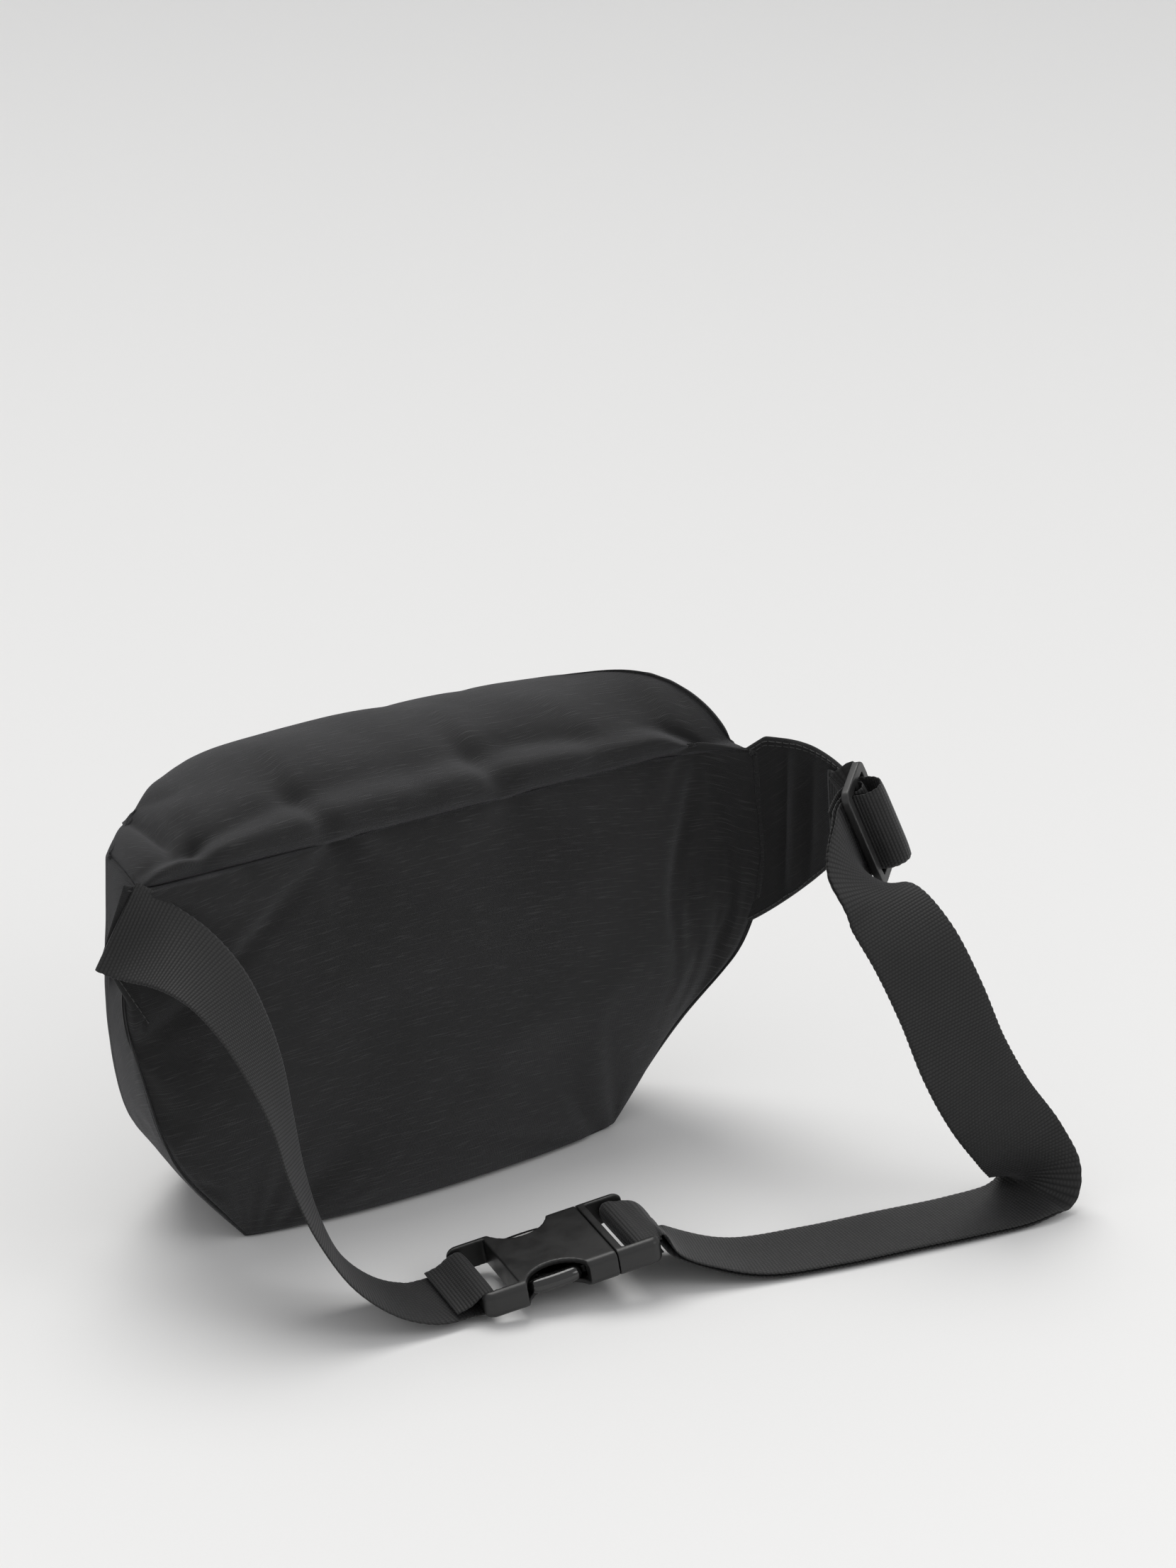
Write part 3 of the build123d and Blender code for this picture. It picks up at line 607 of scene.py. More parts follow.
def settle(points, faces, hold, slack, cap):
    """Cloth simulation: a little air inside, extra cloth between the seams. No point moves past cap."""
    mesh = bpy.data.meshes.new("settling")
    mesh.from_pydata((points * MM).tolist(), [], faces)
    obj = link("settling", mesh)
    for name, weights in (("hold", hold), ("slack", slack)):
        group = obj.vertex_groups.new(name=name)
        for k in np.nonzero(weights > 0)[0]:
            group.add([int(k)], float(weights[k]), "REPLACE")
    cloth = obj.modifiers.new("cloth", "CLOTH")
    settings = cloth.settings
    settings.quality = 6
    settings.mass = CLOTH_MASS
    settings.air_damping = 1.0
    settings.tension_stiffness = settings.compression_stiffness = 15
    settings.shear_stiffness = 5
    settings.bending_stiffness = 0.3
    settings.tension_damping = settings.compression_damping = 5
    settings.use_pressure = True
    settings.uniform_pressure_force = CLOTH_PRESSURE
    settings.vertex_group_mass = "hold"
    settings.vertex_group_shrink = "slack"
    settings.shrink_min = 0.0
    settings.shrink_max = -EXTRA_CLOTH
    settings.effector_weights.gravity = 0
    cloth.collision_settings.use_collision = False
    scene = bpy.context.scene
    for step in range(1, CLOTH_FRAMES + 1):
        scene.frame_set(step)
    result = obj.evaluated_get(bpy.context.evaluated_depsgraph_get()).data
    moved = np.zeros(len(points) * 3)
    result.vertices.foreach_get("co", moved)
    scene.frame_set(1)
    bpy.data.objects.remove(obj)
    bpy.data.meshes.remove(mesh)
    shift = moved.reshape(-1, 3) / MM - points
    length = np.linalg.norm(shift, axis=1, keepdims=True)
    return points + shift * np.minimum(1, cap / np.maximum(length, 1e-6))


def build_body():
    panels = body_panels()
    points, faces, numbers = merge(panels)
    normals = point_normals(points, faces)
    points, seam = crown_and_fold(points, normals, numbers)
    hold = np.zeros(len(points))
    hold[seam] = 0.6
    zip_band = np.abs(points[:, 2] - MAIN_ZIP_HEIGHT) < 12
    hold[zip_band & (points[:, 1] < front_y(points[:, 0]) + 4)] = 1.0
    hold[points[:, 2] < 1.5] = 1.0
    slack = np.ones(len(points))
    slack[seam] = 0.0
    points = settle(points, faces, hold, slack, CLOTH_CAP)
    points[:, 2] = np.maximum(points[:, 2], 0.05)
    return points, numbers


body_points, body_numbers = build_body()


def columns_between(grid_x, half_width):
    """First and last column within half_width of the middle."""
    inside = np.nonzero(np.abs(grid_x) < half_width)[0]
    return inside[0], inside[-1]


def body_piece(node, panel, material, slot, flip, opening=None):
    name = node + "_cloth"
    grid = body_points[body_numbers[panel]]
    piece = thicken(grid_object(name, grid, flip=flip, opening=opening), PANEL_CLOTH)
    declare(piece, material, "bag", slot, node)


zip_half_width = FRONT_RADIUS * math.sin(math.radians(MAIN_ZIP_HALF_DEG))
zip_columns = columns_between(body_points[body_numbers["front"]][ZIP_ROWS[0], :, 0], zip_half_width)
body_piece("back_panel", "back", BACK_CLOTH, "back_fabric", True)
body_piece("top_panel", "top", SHELL_CLOTH, "shell_fabric", True)
body_piece("front_panel", "front", SHELL_CLOTH, "shell_fabric", False, opening=(ZIP_ROWS, zip_columns))
body_piece("side_gusset_left", "left", SHELL_CLOTH, "shell_fabric", True)
body_piece("side_gusset_right", "right", SHELL_CLOTH, "shell_fabric", False)
body_piece("base_panel", "base", SHELL_CLOTH, "shell_fabric", False)


def behind_back(name, depth, thickness, material, slot, node):
    """A layer inside the back panel, as deep as the CAD part puts it."""
    edge = 3                         # rows and columns left free beside the seams
    grid = body_points[body_numbers["back"]][edge:-edge, edge:-edge].copy()
    grid[..., 1] -= depth
    layer = thicken(grid_object(name, grid, flip=True), thickness, subdivide=0)
    return declare(layer, material, "bag", slot, node)


padding = behind_back("back_padding_foam", 1.7, 4.6, FOAM, "foam", "back_padding")
behind_back("back_lining_cloth", 6.6, 0.6, LINING_CLOTH, "lining", "back_lining")


# ---- Pieces that lie on the front wall --------------------------------------------------------------
def on_front(angle, radius_offset, z):
    """A point on the front wall: degrees from the middle towards the left end, height, and stand-off."""
    a = np.radians(np.asarray(angle, float))
    r = FRONT_RADIUS + np.asarray(radius_offset, float)
    return np.stack(np.broadcast_arrays(r * np.sin(a), FRONT_CENTRE - r * np.cos(a), z), axis=-1)


TAPE_THICKNESS = 0.8


def tape_strip(name, offset, low, high, half_deg, node):
    """A flat woven tape bent along the front wall."""
    angle, z = np.meshgrid(np.linspace(-half_deg, half_deg, 80), np.linspace(low, high, 7))
    strip = thicken(grid_object(name, on_front(angle, offset, z)), TAPE_THICKNESS, subdivide=0)
    declare(strip, TAPE_CLOTH, "bag", "zip_tape", node)


def coil_row(name, offset, height, up, half_deg, shift, node):
    """One row of a spiral zip: a tooth for each turn of the coil."""
    pitch, tooth_width = 1.5, 0.95
    reach_low, reach_high = -0.35, COIL_GAP / 2 + COIL_WIDTH
    sides = 8
    turn = np.linspace(0, 2 * math.pi, sides, endpoint=False)
    profile = [(reach_low, 0.25), (reach_low + 0.3, 0.8), (0.6, 1.0), (reach_high - 0.4, 0.9),
               (reach_high, 0.4)]
    verts, faces = [], []
    arc = math.radians(2 * half_deg) * FRONT_RADIUS
    for k in range(int(arc / pitch)):
        middle_deg = -half_deg + math.degrees((k + shift) * pitch / FRONT_RADIUS)
        first = len(verts)
        for z, fullness in profile:
            side = tooth_width / 2 * fullness * np.cos(turn)
            out = COIL_THICKNESS / 2 * (1 + fullness * np.sin(turn))
            angle = middle_deg + np.degrees(side / FRONT_RADIUS)
            verts += on_front(angle, offset + 0.05 + out, height + up * z).tolist()
        ring_faces = grid_faces(len(profile), sides, close_cols=True)
        ring_faces += [tuple(range(sides))[::-1], tuple((len(profile) - 1) * sides + q for q in range(sides))]
        faces += [tuple(first + q for q in (f if up < 0 else f[::-1])) for f in ring_faces]
    declare(link(name, smooth_mesh(name, verts, faces)), COIL, "bag", "zip_coil", node)


def zip_rows(name, offset, height, tape_width, tape_deg, coil_deg):
    for row, up in (("upper", 1), ("lower", -1)):
        edges = sorted((height + up * (COIL_GAP / 2 + 0.3),
                        height + up * (COIL_GAP / 2 + COIL_WIDTH + tape_width)))
        tape_strip(f"{name}_tape_{row}_cloth", offset, *edges, tape_deg, f"{name}_tape_{row}")
        coil_row(f"{name}_teeth_{row}", offset, height, up, coil_deg - 0.3, 0.25 + 0.25 * up,
                 f"{name}_coil_{row}")


zip_rows("main_zip", 0.0, MAIN_ZIP_HEIGHT, 13.0, MAIN_ZIP_HALF_DEG + 0.5, MAIN_ZIP_HALF_DEG)
POCKET_FACE = POCKET_DEPTH - 1.6 - 0.1
zip_rows("pocket_zip", POCKET_FACE, POCKET_ZIP_HEIGHT, 10.0, POCKET_ZIP_HALF_DEG + 1.5, POCKET_ZIP_HALF_DEG)


def build_pocket():
    """The front pocket: a gusseted patch, full in the middle, with a folded opening beside its zip."""
    edge = 5.6                       # from the zip's middle to the folded edges
    below = POCKET_LOW + (POCKET_ZIP_HEIGHT - edge - POCKET_LOW) * spread(30, 0.7)
    above = POCKET_ZIP_HEIGHT + edge + (POCKET_HIGH - POCKET_ZIP_HEIGHT - edge) * spread(12, 0.3)
    levels = np.concatenate([below, [POCKET_ZIP_HEIGHT - 2, POCKET_ZIP_HEIGHT + 2], above])
    angles = POCKET_HALF_DEG * (2 * spread(64, 0.6) - 1)
    angle, z = np.meshgrid(angles, levels)
    from_side = (POCKET_HALF_DEG - np.abs(angle)) / math.degrees(1 / FRONT_RADIUS)
    from_end = np.minimum(z - POCKET_LOW, POCKET_HIGH - z)
    inside = np.minimum(from_side, from_end)
    rise = np.sqrt(np.clip(1 - (1 - np.clip(inside / 9.0, 0, 1)) ** 2.4, 0, 1))
    fullness = 2.2 * bump_at(angle, 0, 20) * bump_at(z, 62, 30) + 0.8 * wobble(
        on_front(angle, 0, z), 24, 5).reshape(z.shape) * np.clip((92 - z) / 20, 0, 1)
    offset = 1.3 + (POCKET_DEPTH - 1.0) * rise + fullness * np.clip(inside / 14, 0, 1)
    columns = columns_between(angles, POCKET_ZIP_HALF_DEG)
    rows = (len(below) - 1, len(below) + 2)
    pocket = grid_object("pocket_panel_cloth", on_front(angle, offset, z), opening=(rows, columns))
    declare(thicken(pocket, 1.0), SHELL_CLOTH, "bag", "shell_fabric", "pocket_panel")


build_pocket()


# ---- Wings -----------------------------------------------------------------------------------------
STITCH_LENGTH, STITCH_GAP, THREAD_RADIUS = 2.5, 0.6, 0.24


def padded_flap(name, grid, thickness, node):
    """Two layers of cloth turned at the edges: a closed form, thin along its rim."""
    rows, cols = grid.shape[:2]
    a, b = np.meshgrid(np.linspace(0, 1, cols), np.linspace(0, 1, rows))
    rim = np.clip(np.minimum(np.minimum(a, 1 - a) * cols, np.minimum(b, 1 - b) * rows) / 2.5, 0, 1)
    half = thickness / 2 * (0.35 + 0.65 * np.sqrt(rim))
    normal = unit(np.cross(np.gradient(grid, axis=1), np.gradient(grid, axis=0)))
    near, far = grid + normal * half[..., None], grid - normal * half[..., None]
    closed = np.concatenate([near, far[:, ::-1]], axis=1)
    flap = grid_object(name, closed, close_cols=True)
    ends = [list(range(2 * cols)), [(rows - 1) * 2 * cols + k for k in range(2 * cols)]]
    for ring in ends:
        close_ring(flap.data, ring, cols)
    sub = flap.modifiers.new("subdivide", "SUBSURF")
    sub.levels = sub.render_levels = 1
    # The wings' cloth is painted darker than the shell's: painted shade.
    declare(flap, SHADED_WING_CLOTH, "bag", "shell_fabric", node)


def stitch_row(name, line, outward, slot="shell_fabric"):
    """A row of lockstitches along a line on the cloth: short threads that dip in at both ends."""
    line, outward = np.array(line, float), np.array(outward, float)
    run = np.concatenate([[0], np.cumsum(np.linalg.norm(np.diff(line, axis=0), axis=1))])
    points, faces = [], []
    for start in np.arange(0.6, run[-1] - STITCH_LENGTH, STITCH_LENGTH + STITCH_GAP):
        spots = start + STITCH_LENGTH * np.array([0.0, 0.12, 0.5, 0.88, 1.0])
        centre = np.stack([np.interp(spots, run, line[:, k]) for k in range(3)], axis=1)
        up = unit(np.stack([np.interp(spots, run, outward[:, k]) for k in range(3)], axis=1))
        along = unit(centre[-1] - centre[0])
        side = unit(np.cross(along, up))
        lift = THREAD_RADIUS * np.array([-0.9, 0.2, 0.6, 0.2, -0.9])
        base = len(points)
        for k in range(5):
            for turn in np.arange(6) * math.pi / 3:
                points.append(centre[k] + up[k] * (lift[k] + THREAD_RADIUS * math.sin(turn))
                              + side[k] * THREAD_RADIUS * math.cos(turn))
        for k in range(4):
            for c in range(6):
                near, far = base + 6 * k, base + 6 * k + 6
                faces.append((near + c, near + (c + 1) % 6, far + (c + 1) % 6, far + c))
        faces += [tuple(base + c for c in range(5, -1, -1)), tuple(base + 24 + c for c in range(6))]
    declare(link(name, smooth_mesh(name, points, faces)), THREAD, "bag", slot)


def edge_rows(name, grid, thickness, facing, rows):
    """Rows of stitches on a flap, each given as a start and an end in shares of its width and height."""
    normal = unit(np.cross(np.gradient(grid, axis=1), np.gradient(grid, axis=0)))
    if np.sum(normal * facing) < 0:
        normal = -normal
    height, width = grid.shape[0] - 1, grid.shape[1] - 1
    for k, (start, end) in enumerate(rows):
        a = np.linspace(start[0], end[0], 60) * width
        b = np.linspace(start[1], end[1], 60) * height
        i, j = np.minimum(b.astype(int), height - 1), np.minimum(a.astype(int), width - 1)
        s, t = (b - i)[:, None], (a - j)[:, None]

        def at(field):
            return ((1 - s) * ((1 - t) * field[i, j] + t * field[i, j + 1])
                    + s * ((1 - t) * field[i + 1, j] + t * field[i + 1, j + 1]))
        outward = unit(at(normal))
        stitch_row(f"{name}_{k}", at(grid) + outward * (thickness / 2 - 0.05), outward)


def close_ring(mesh, ring, cols):
    """Closes one end of a flat tube with a strip of quads between its two sides."""
    bm = bmesh.new()
    bm.from_mesh(mesh)
    bm.verts.ensure_lookup_table()
    for k in range(cols - 1):
        corners = (ring[k], ring[k + 1], ring[2 * cols - 2 - k], ring[2 * cols - 1 - k])
        bm.faces.new([bm.verts[c] for c in corners])
    bmesh.ops.recalc_face_normals(bm, faces=bm.faces)
    bm.to_mesh(mesh)
    bm.free()
    shade_smooth(mesh)


def build_right_wing():
    start_deg, low_start, low_end = CURL_PANEL_DEG - 5.0, 82.0, 116.0
    angle, share = np.meshgrid(np.linspace(start_deg, CURL_END_DEG, 46), spread(34, 0.5))
    a = np.radians(angle)
    x = -CURL_START - CURL_RADIUS * np.sin(a)
    low = low_start + (low_end - low_start) * np.clip((angle - start_deg) / 42, 0, 1) ** 1.25
    high = SEAM_HEIGHT + 6.5 * np.clip((angle - start_deg) / 9, 0, 1)
    high = high - 9.5 * np.clip((angle - 64) / 34, 0, 1) ** 1.5
    z = low + (high - low) * share
    free = middle(share, share, 0.4)
    pucker = 1.9 * bump_at(angle, 60, 2.4) - 2.1 * bump_at(angle, 65, 2.6) + 1.5 * bump_at(angle, 72, 3)
    ripple = wobble(np.stack([x, a * CURL_RADIUS, z], axis=-1), 20, 7).reshape(x.shape) * 0.8
    radius = CURL_RADIUS + 1.5 + (pucker + ripple) * free
    grid = np.stack([-CURL_START - radius * np.sin(a), CURL_RADIUS - radius * np.cos(a), z], axis=-1)
    padded_flap("wing_right_cloth", grid, 2.6, "wing_right")
    edge_rows("wing_right_stitch", grid, 2.6, (0, 1, 0.4), [
        ((0.04, 0.955), (0.96, 0.955)), ((0.04, 0.915), (0.96, 0.915)), ((0.04, 0.055), (0.96, 0.055)),
        ((0.95, 0.07), (0.95, 0.93))])


def build_left_wing():
    """The left wing continues the back panel's upper corner and carries the short webbing."""
    inner_top, inner_low = np.array([103.0, 1.5, 159.0]), np.array([133.0, 1.0, 99.0])
    outer_top, outer_low = np.array([141.0, 1.0, 164.5]), np.array([151.5, 0.5, 136.0])
    a, b = np.meshgrid(np.linspace(0, 1, 26), np.linspace(0, 1, 30))
    a3, b3 = a[..., None], b[..., None]
    lower, upper = (1 - a3) * inner_low + a3 * outer_low, (1 - a3) * inner_top + a3 * outer_top
    grid = (1 - b3) * lower + b3 * upper
    grid[..., 2] -= 3.0 * np.sin(math.pi * a) * b
    ripple = 0.7 * wobble(grid, 16, 9).reshape(a.shape)
    grid[..., 1] += 1.6 * np.sin(math.pi * a) * np.sin(math.pi * b) + ripple
    padded_flap("wing_left_cloth", grid, 2.2, "wing_left")
    edge_rows("wing_left_stitch", grid, 2.2, (0, 1, 0), [
        ((0.05, 0.94), (0.96, 0.94)), ((0.05, 0.89), (0.96, 0.89)), ((0.05, 0.06), (0.96, 0.06)),
        ((0.12, 0.86), (0.30, 0.60)), ((0.30, 0.86), (0.12, 0.60))])


build_right_wing()
build_left_wing()


# ---- Webbing ---------------------------------------------------------------------------------------
BUCKLE_MOUTH, BUCKLE_YAW, BUCKLE_PITCH = (-3.5, 111.0, 11.4), 166.3, 9.5
BUCKLE_THICKNESS, FEMALE_LENGTH, END_BAR, BAR_TRIM = 11.0, 56.0, 5.0, 2.6
MALE_BAR, MALE_SLOT, MALE_START = 4.5, 6.5, 0.3
GLIDE_CENTRE = (-155.0, 86.0, 149.0)
GLIDE_ALONG, GLIDE_NORMAL = (0.743, 0.594, -0.292), (-0.514, 0.777, 0.275)

# Centre of the strap and the direction across it.
SHORT_ROUTE = [
    ((146, 3.0, 149), (0.55, 0.02, -0.83)), ((138, 8, 144), (0.80, 0.17, -0.57)),
    ((127, 20, 137), (0.91, 0.32, -0.27)), ((119, 31, 127), (0.92, 0.38, -0.02)),
    ((113.5, 41, 113), (0.86, 0.50, 0.09)), ((110, 50, 97), (0.78, 0.60, 0.15)),
    ((108, 59, 78), (0.68, 0.69, 0.24)), ((107, 67, 58), (0.63, 0.72, 0.30)),
    ((104, 76, 39), (0.55, 0.80, 0.22)), ((97, 85, 22), (0.42, 0.90, 0.10)),
    ((84, 92, 10), (0.32, 0.94, 0.03)), ((70, 96, 4.6), (0.26, 0.96, 0)),
]
FLOOR_ROUTE = [
    ((-30, 121, 13.0), (0.23, 0.97, 0)), ((-44, 128, 6.4), (0.22, 0.97, 0.03)),
    ((-60, 135, 2.6), (0.20, 0.98, 0.03)), ((-90, 143, 1.9), (0.20, 0.98, 0.02)),
    ((-122, 149, 1.9), (0.20, 0.98, 0.02)), ((-154, 155, 1.9), (0.19, 0.98, 0.02)),
    ((-176, 158, 2.8), (0.10, 0.99, 0)), ((-186, 158, 6.5), (-0.35, 0.93, 0)),
    ((-186.5, 158, 14), (-0.75, 0.65, -0.08)), ((-178, 158, 28), (-0.91, 0.40, -0.06)),
    ((-164, 155, 48), (-0.94, 0.34, 0.04)), ((-153, 151, 70), (-0.95, 0.30, 0.08)),
    ((-146.5, 144, 93), (-0.95, 0.31, 0.03)), ((-141, 133, 114), (-0.94, 0.34, 0)),
    ((-137, 119, 128), (-0.92, 0.35, -0.15)), ((-135, 107, 135), (-0.85, 0.25, -0.45)),
]


def axes(x_dir, z_dir):
    x = unit(np.array(x_dir, float))
    z = np.array(z_dir, float)
    z = unit(z - x * (z @ x))
    return x, np.cross(z, x), z


yaw, pitch = math.radians(BUCKLE_YAW), math.radians(BUCKLE_PITCH)
BUCKLE_AXES = axes((math.cos(yaw) * math.cos(pitch), math.sin(yaw) * math.cos(pitch), math.sin(pitch)),
                   (-math.cos(yaw) * math.sin(pitch), -math.sin(yaw) * math.sin(pitch), math.cos(pitch)))
GLIDE_AXES = axes(GLIDE_ALONG, GLIDE_NORMAL)


def in_fitting(origin, directions, points):
    """Route points given as (along, up) in a fitting's frame, with the strap across it."""
    x, y, z = directions
    return [(tuple(np.array(origin) + x * a + z * b), tuple(y)) for a, b in points]


def offset_layer(stations, distance):
    """The same route moved off its own face."""
    centres = np.array([c for c, _ in stations], float)
    last = len(centres) - 1
    moved = []
    for i, (_, across) in enumerate(stations):
        along = unit(centres[min(i + 1, last)] - centres[max(i - 1, 0)])
        up = unit(np.cross(along, across))
        moved.append((tuple(centres[i] + up * distance), across))
    return moved


def smooth_route(stations, step):
    """Centres and crosswise directions every step millimetres along a smooth curve through the stations."""
    centres = np.array([c for c, _ in stations], float)
    across = unit(np.array([a for _, a in stations], float))
    for k in range(1, len(across)):      # a fitting's own axis may point the other way
        if across[k] @ across[k - 1] < 0:
            across[k] = -across[k]
    t = np.concatenate([[0], np.cumsum(np.linalg.norm(np.diff(centres, axis=0), axis=1) ** 0.5)])
    both = np.concatenate([centres, across], axis=1)
    dense = smooth_between(t, both, np.linspace(0, t[-1], 60 * len(t)))
    run = np.concatenate([[0], np.cumsum(np.linalg.norm(np.diff(dense[:, :3], axis=0), axis=1))])
    even = np.arange(0, run[-1], step)
    picked = np.stack([np.interp(even, run, dense[:, c]) for c in range(6)], axis=1)
    along = unit(np.gradient(picked[:, :3], axis=0))
    side = picked[:, 3:] - along * np.sum(picked[:, 3:] * along, axis=1, keepdims=True)
    return picked[:, :3], unit(side), unit(np.cross(along, side)), even


def webbing(name, stations, node):
    """A strap of webbing: crosswise ribs on both faces and a looped selvedge along both edges."""
    step = RIB / 2
    centres, side, up, run = smooth_route(stations, step)
    count = 15
    share = np.sin(np.linspace(-math.pi / 2, math.pi / 2, count))
    share = 0.6 * share + 0.4 * np.linspace(-1, 1, count)
    body = np.sqrt(np.clip(1 - np.abs(share) ** 6, 0.12, 1))
    rib = np.where(np.arange(len(run)) % 2 == 0, 1.0, -1.0)
    half = CLOTH_THICKNESS / 2
    picot = 0.28 * np.abs(np.sin(math.pi * run / (2 * RIB)))
    rows = []
    for sign in (1, -1):
        across = share[::sign]
        lift = sign * (half * body[None, ::sign] + 0.07 * rib[:, None] * body[None, ::sign] ** 4)
        reach = WEBBING_WIDTH / 2 - 0.6 + picot[:, None] * (np.abs(across) ** 12)[None, :]
        rows.append(centres[:, None, :] + side[:, None, :] * (across[None, :] * reach)[..., None]
                    + up[:, None, :] * lift[..., None])
    grid = np.concatenate(rows, axis=1)
    u = np.concatenate([share, share[::-1]]) * WEBBING_WIDTH / 2
    uv = np.stack(np.broadcast_arrays(u[None, :], run[:, None]), axis=-1) * MM
    strap = grid_object(name, grid, uv=uv, close_cols=True, flip=True, caps=True)
    paint(strap, WEBBING)
    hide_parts(node)
    return strap, run[-1] * MM


def female_loop():
    middle_z = BUCKLE_THICKNESS / 2
    bar = -FEMALE_LENGTH + 0.5 + END_BAR / 2
    wrap = END_BAR / 2 + LAYER_GAP + WEBBING_THICKNESS / 2
    high = middle_z - BAR_TRIM + LAYER_GAP + WEBBING_THICKNESS / 2
    return in_fitting(BUCKLE_MOUTH, BUCKLE_AXES, [
        (bar - wrap - 5, middle_z - high + 1.0), (bar - wrap + 1, middle_z - high), (bar, middle_z - high),
        (bar + wrap - 1, middle_z - high + 0.6), (bar + wrap, middle_z),
        (bar + wrap - 1, middle_z + high - 0.6), (bar, middle_z + high),
        (bar - wrap + 1, middle_z + high - 0.8), (bar - wrap - 3.5, middle_z + 1.0),
        (bar - wrap - 9.5, middle_z - 0.2)])


def male_loop():
    middle_z = BUCKLE_THICKNESS / 2
    bar = MALE_START + 3.2 + MALE_SLOT + MALE_BAR / 2
    wrap = MALE_BAR / 2 + LAYER_GAP + WEBBING_THICKNESS / 2
    high = middle_z - BAR_TRIM + LAYER_GAP + WEBBING_THICKNESS / 2
    return in_fitting(BUCKLE_MOUTH, BUCKLE_AXES, [
        (bar + wrap + 7, middle_z + 0.6), (bar + wrap, middle_z + high - 1), (bar, middle_z + high),
        (bar - wrap + 1, middle_z + high - 0.8), (bar - wrap, middle_z),
        (bar - wrap + 1, middle_z - high + 0.8), (bar, middle_z - high),
        (bar + wrap, middle_z - high + 0.4), (bar + wrap + 7, middle_z - high - 0.4)])


short_strap, short_length = webbing("short_webbing_strap", SHORT_ROUTE + female_loop(), "short_webbing")
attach(short_strap, "bag")

sewn_at = FEMALE_LENGTH + 7.2
across_strap = np.linspace(-17, 17, 20)[:, None]
sewn_line = (np.array(BUCKLE_MOUTH) - BUCKLE_AXES[0] * sewn_at + BUCKLE_AXES[1] * across_strap
             + BUCKLE_AXES[2] * (BUCKLE_THICKNESS / 2 + 0.55))
stitch_row("short_webbing_stitch", sewn_line, np.tile(BUCKLE_AXES[2], (20, 1)), slot="webbing")

layer_half = (CLOTH_THICKNESS + 0.25) / 2
wing_anchor = [((-163.4, 50, 140), (0.02, 0.04, -1)), ((-163.2, 63, 142), (-0.02, 0.04, -1))]
thread_out = in_fitting(GLIDE_CENTRE, GLIDE_AXES, [
    (-15, -3.0), (-9.6, -2.6), (-6.6, 0.6), (-5.6, 6.5), (-2.6, 10.6), (2.4, 10.8), (5.8, 6.5), (6.6, 0.2),
    (9.4, -3.2), (16, -3.8)])
end_loop = in_fitting(GLIDE_CENTRE, GLIDE_AXES, [
    (16, -5.7), (9, -5.4), (5.4, -4.0), (3.8, 0), (2.2, 3.0), (-2.2, 3.0), (-3.6, 0), (-2.2, -3.8),
    (1.6, -6.6), (8, -7.6), (15, -7.8)])
upper_layer = offset_layer(FLOOR_ROUTE, -layer_half)
lower_layer = offset_layer(FLOOR_ROUTE, layer_half)
long_route = wing_anchor + thread_out + upper_layer[::-1] + male_loop() + lower_layer + end_loop
long_strap, long_length = webbing("long_webbing_strap", long_route, "long_webbing")
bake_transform(long_strap)

# ---- Moulded and cast pieces ------------------------------------------------------------------------
# A moulding's rounded edges are a new piece of its own, which stands for the CAD node: the node itself
# is left exactly as it came. Each entry is the material, the body, the record's slot and how much the
# edges are rounded.
MOULDINGS = {
    "buckle_female": (BUCKLE, "bag", "buckle_plastic", 9),
    "buckle_male": (BUCKLE, "buckle_male", "buckle_plastic", 9),
    "latch_left": (PRONG, "latch_left", "latch_plastic", 6),
    "latch_right": (PRONG, "latch_right", "latch_plastic", 6),
    "tri_glide": (GLIDE, "tri_glide", "buckle_plastic", 7),
}
GRIP_START, GRIP_END, GRIP_OUT, GRIP_RADIUS = -13.6, -36.0, 21.4, 2.9
MOULDING_GRAIN = 0.36
BAR_TURNS = 20                       # points around a prong's bar


def sink_arm(shape, side):
    """Draws the arm in behind the rounded bar where the window shows it."""
    x_dir, y_dir, z_dir = [Vector(d) for d in BUCKLE_AXES]
    origin = Vector(place(np.array(BUCKLE_MOUTH)).tolist())
    for vertex in shape.verts:
        at = (vertex.co - origin) / MM
        along, out, up = at.dot(x_dir), at.dot(y_dir) * side, at.dot(z_dir)
        if along < -12.0:
            out = min(out, GRIP_OUT - 2 * GRIP_RADIUS + 1.5)
            up = BUCKLE_THICKNESS / 2 + (up - BUCKLE_THICKNESS / 2) * 0.6
            vertex.co = origin + (x_dir * along + y_dir * (out * side) + z_dir * up) * MM


def grip_bar(shape, side):
    """The long rounded bar of a prong, which shows in the buckle's side window."""
    x_dir, y_dir, z_dir = BUCKLE_AXES
    turns = np.arange(BAR_TURNS)[:, None] * 2 * math.pi / BAR_TURNS
    rings = []
    for t in np.linspace(-1, 1, 22):
        radius = GRIP_RADIUS * max(1 - abs(t) ** 7, 0.02) ** 0.5
        along = (GRIP_START + GRIP_END) / 2 + t * (GRIP_START - GRIP_END) / 2
        out = side * (GRIP_OUT - GRIP_RADIUS - 0.8 * t * t)
        centre = np.array(BUCKLE_MOUTH) + x_dir * along + y_dir * out + z_dir * BUCKLE_THICKNESS / 2
        ring = centre + radius * (np.cos(turns) * y_dir + 1.05 * np.sin(turns) * z_dir)
        rings.append([shape.verts.new(p) for p in place(ring).tolist()])
    faces = [shape.faces.new(rings[0]), shape.faces.new(rings[-1][::-1])]
    for near, far in zip(rings[:-1], rings[1:]):
        for c in range(BAR_TURNS):
            d = (c + 1) % BAR_TURNS
            faces.append(shape.faces.new((near[c], far[c], far[d], near[d])))
    bmesh.ops.recalc_face_normals(shape, faces=faces)


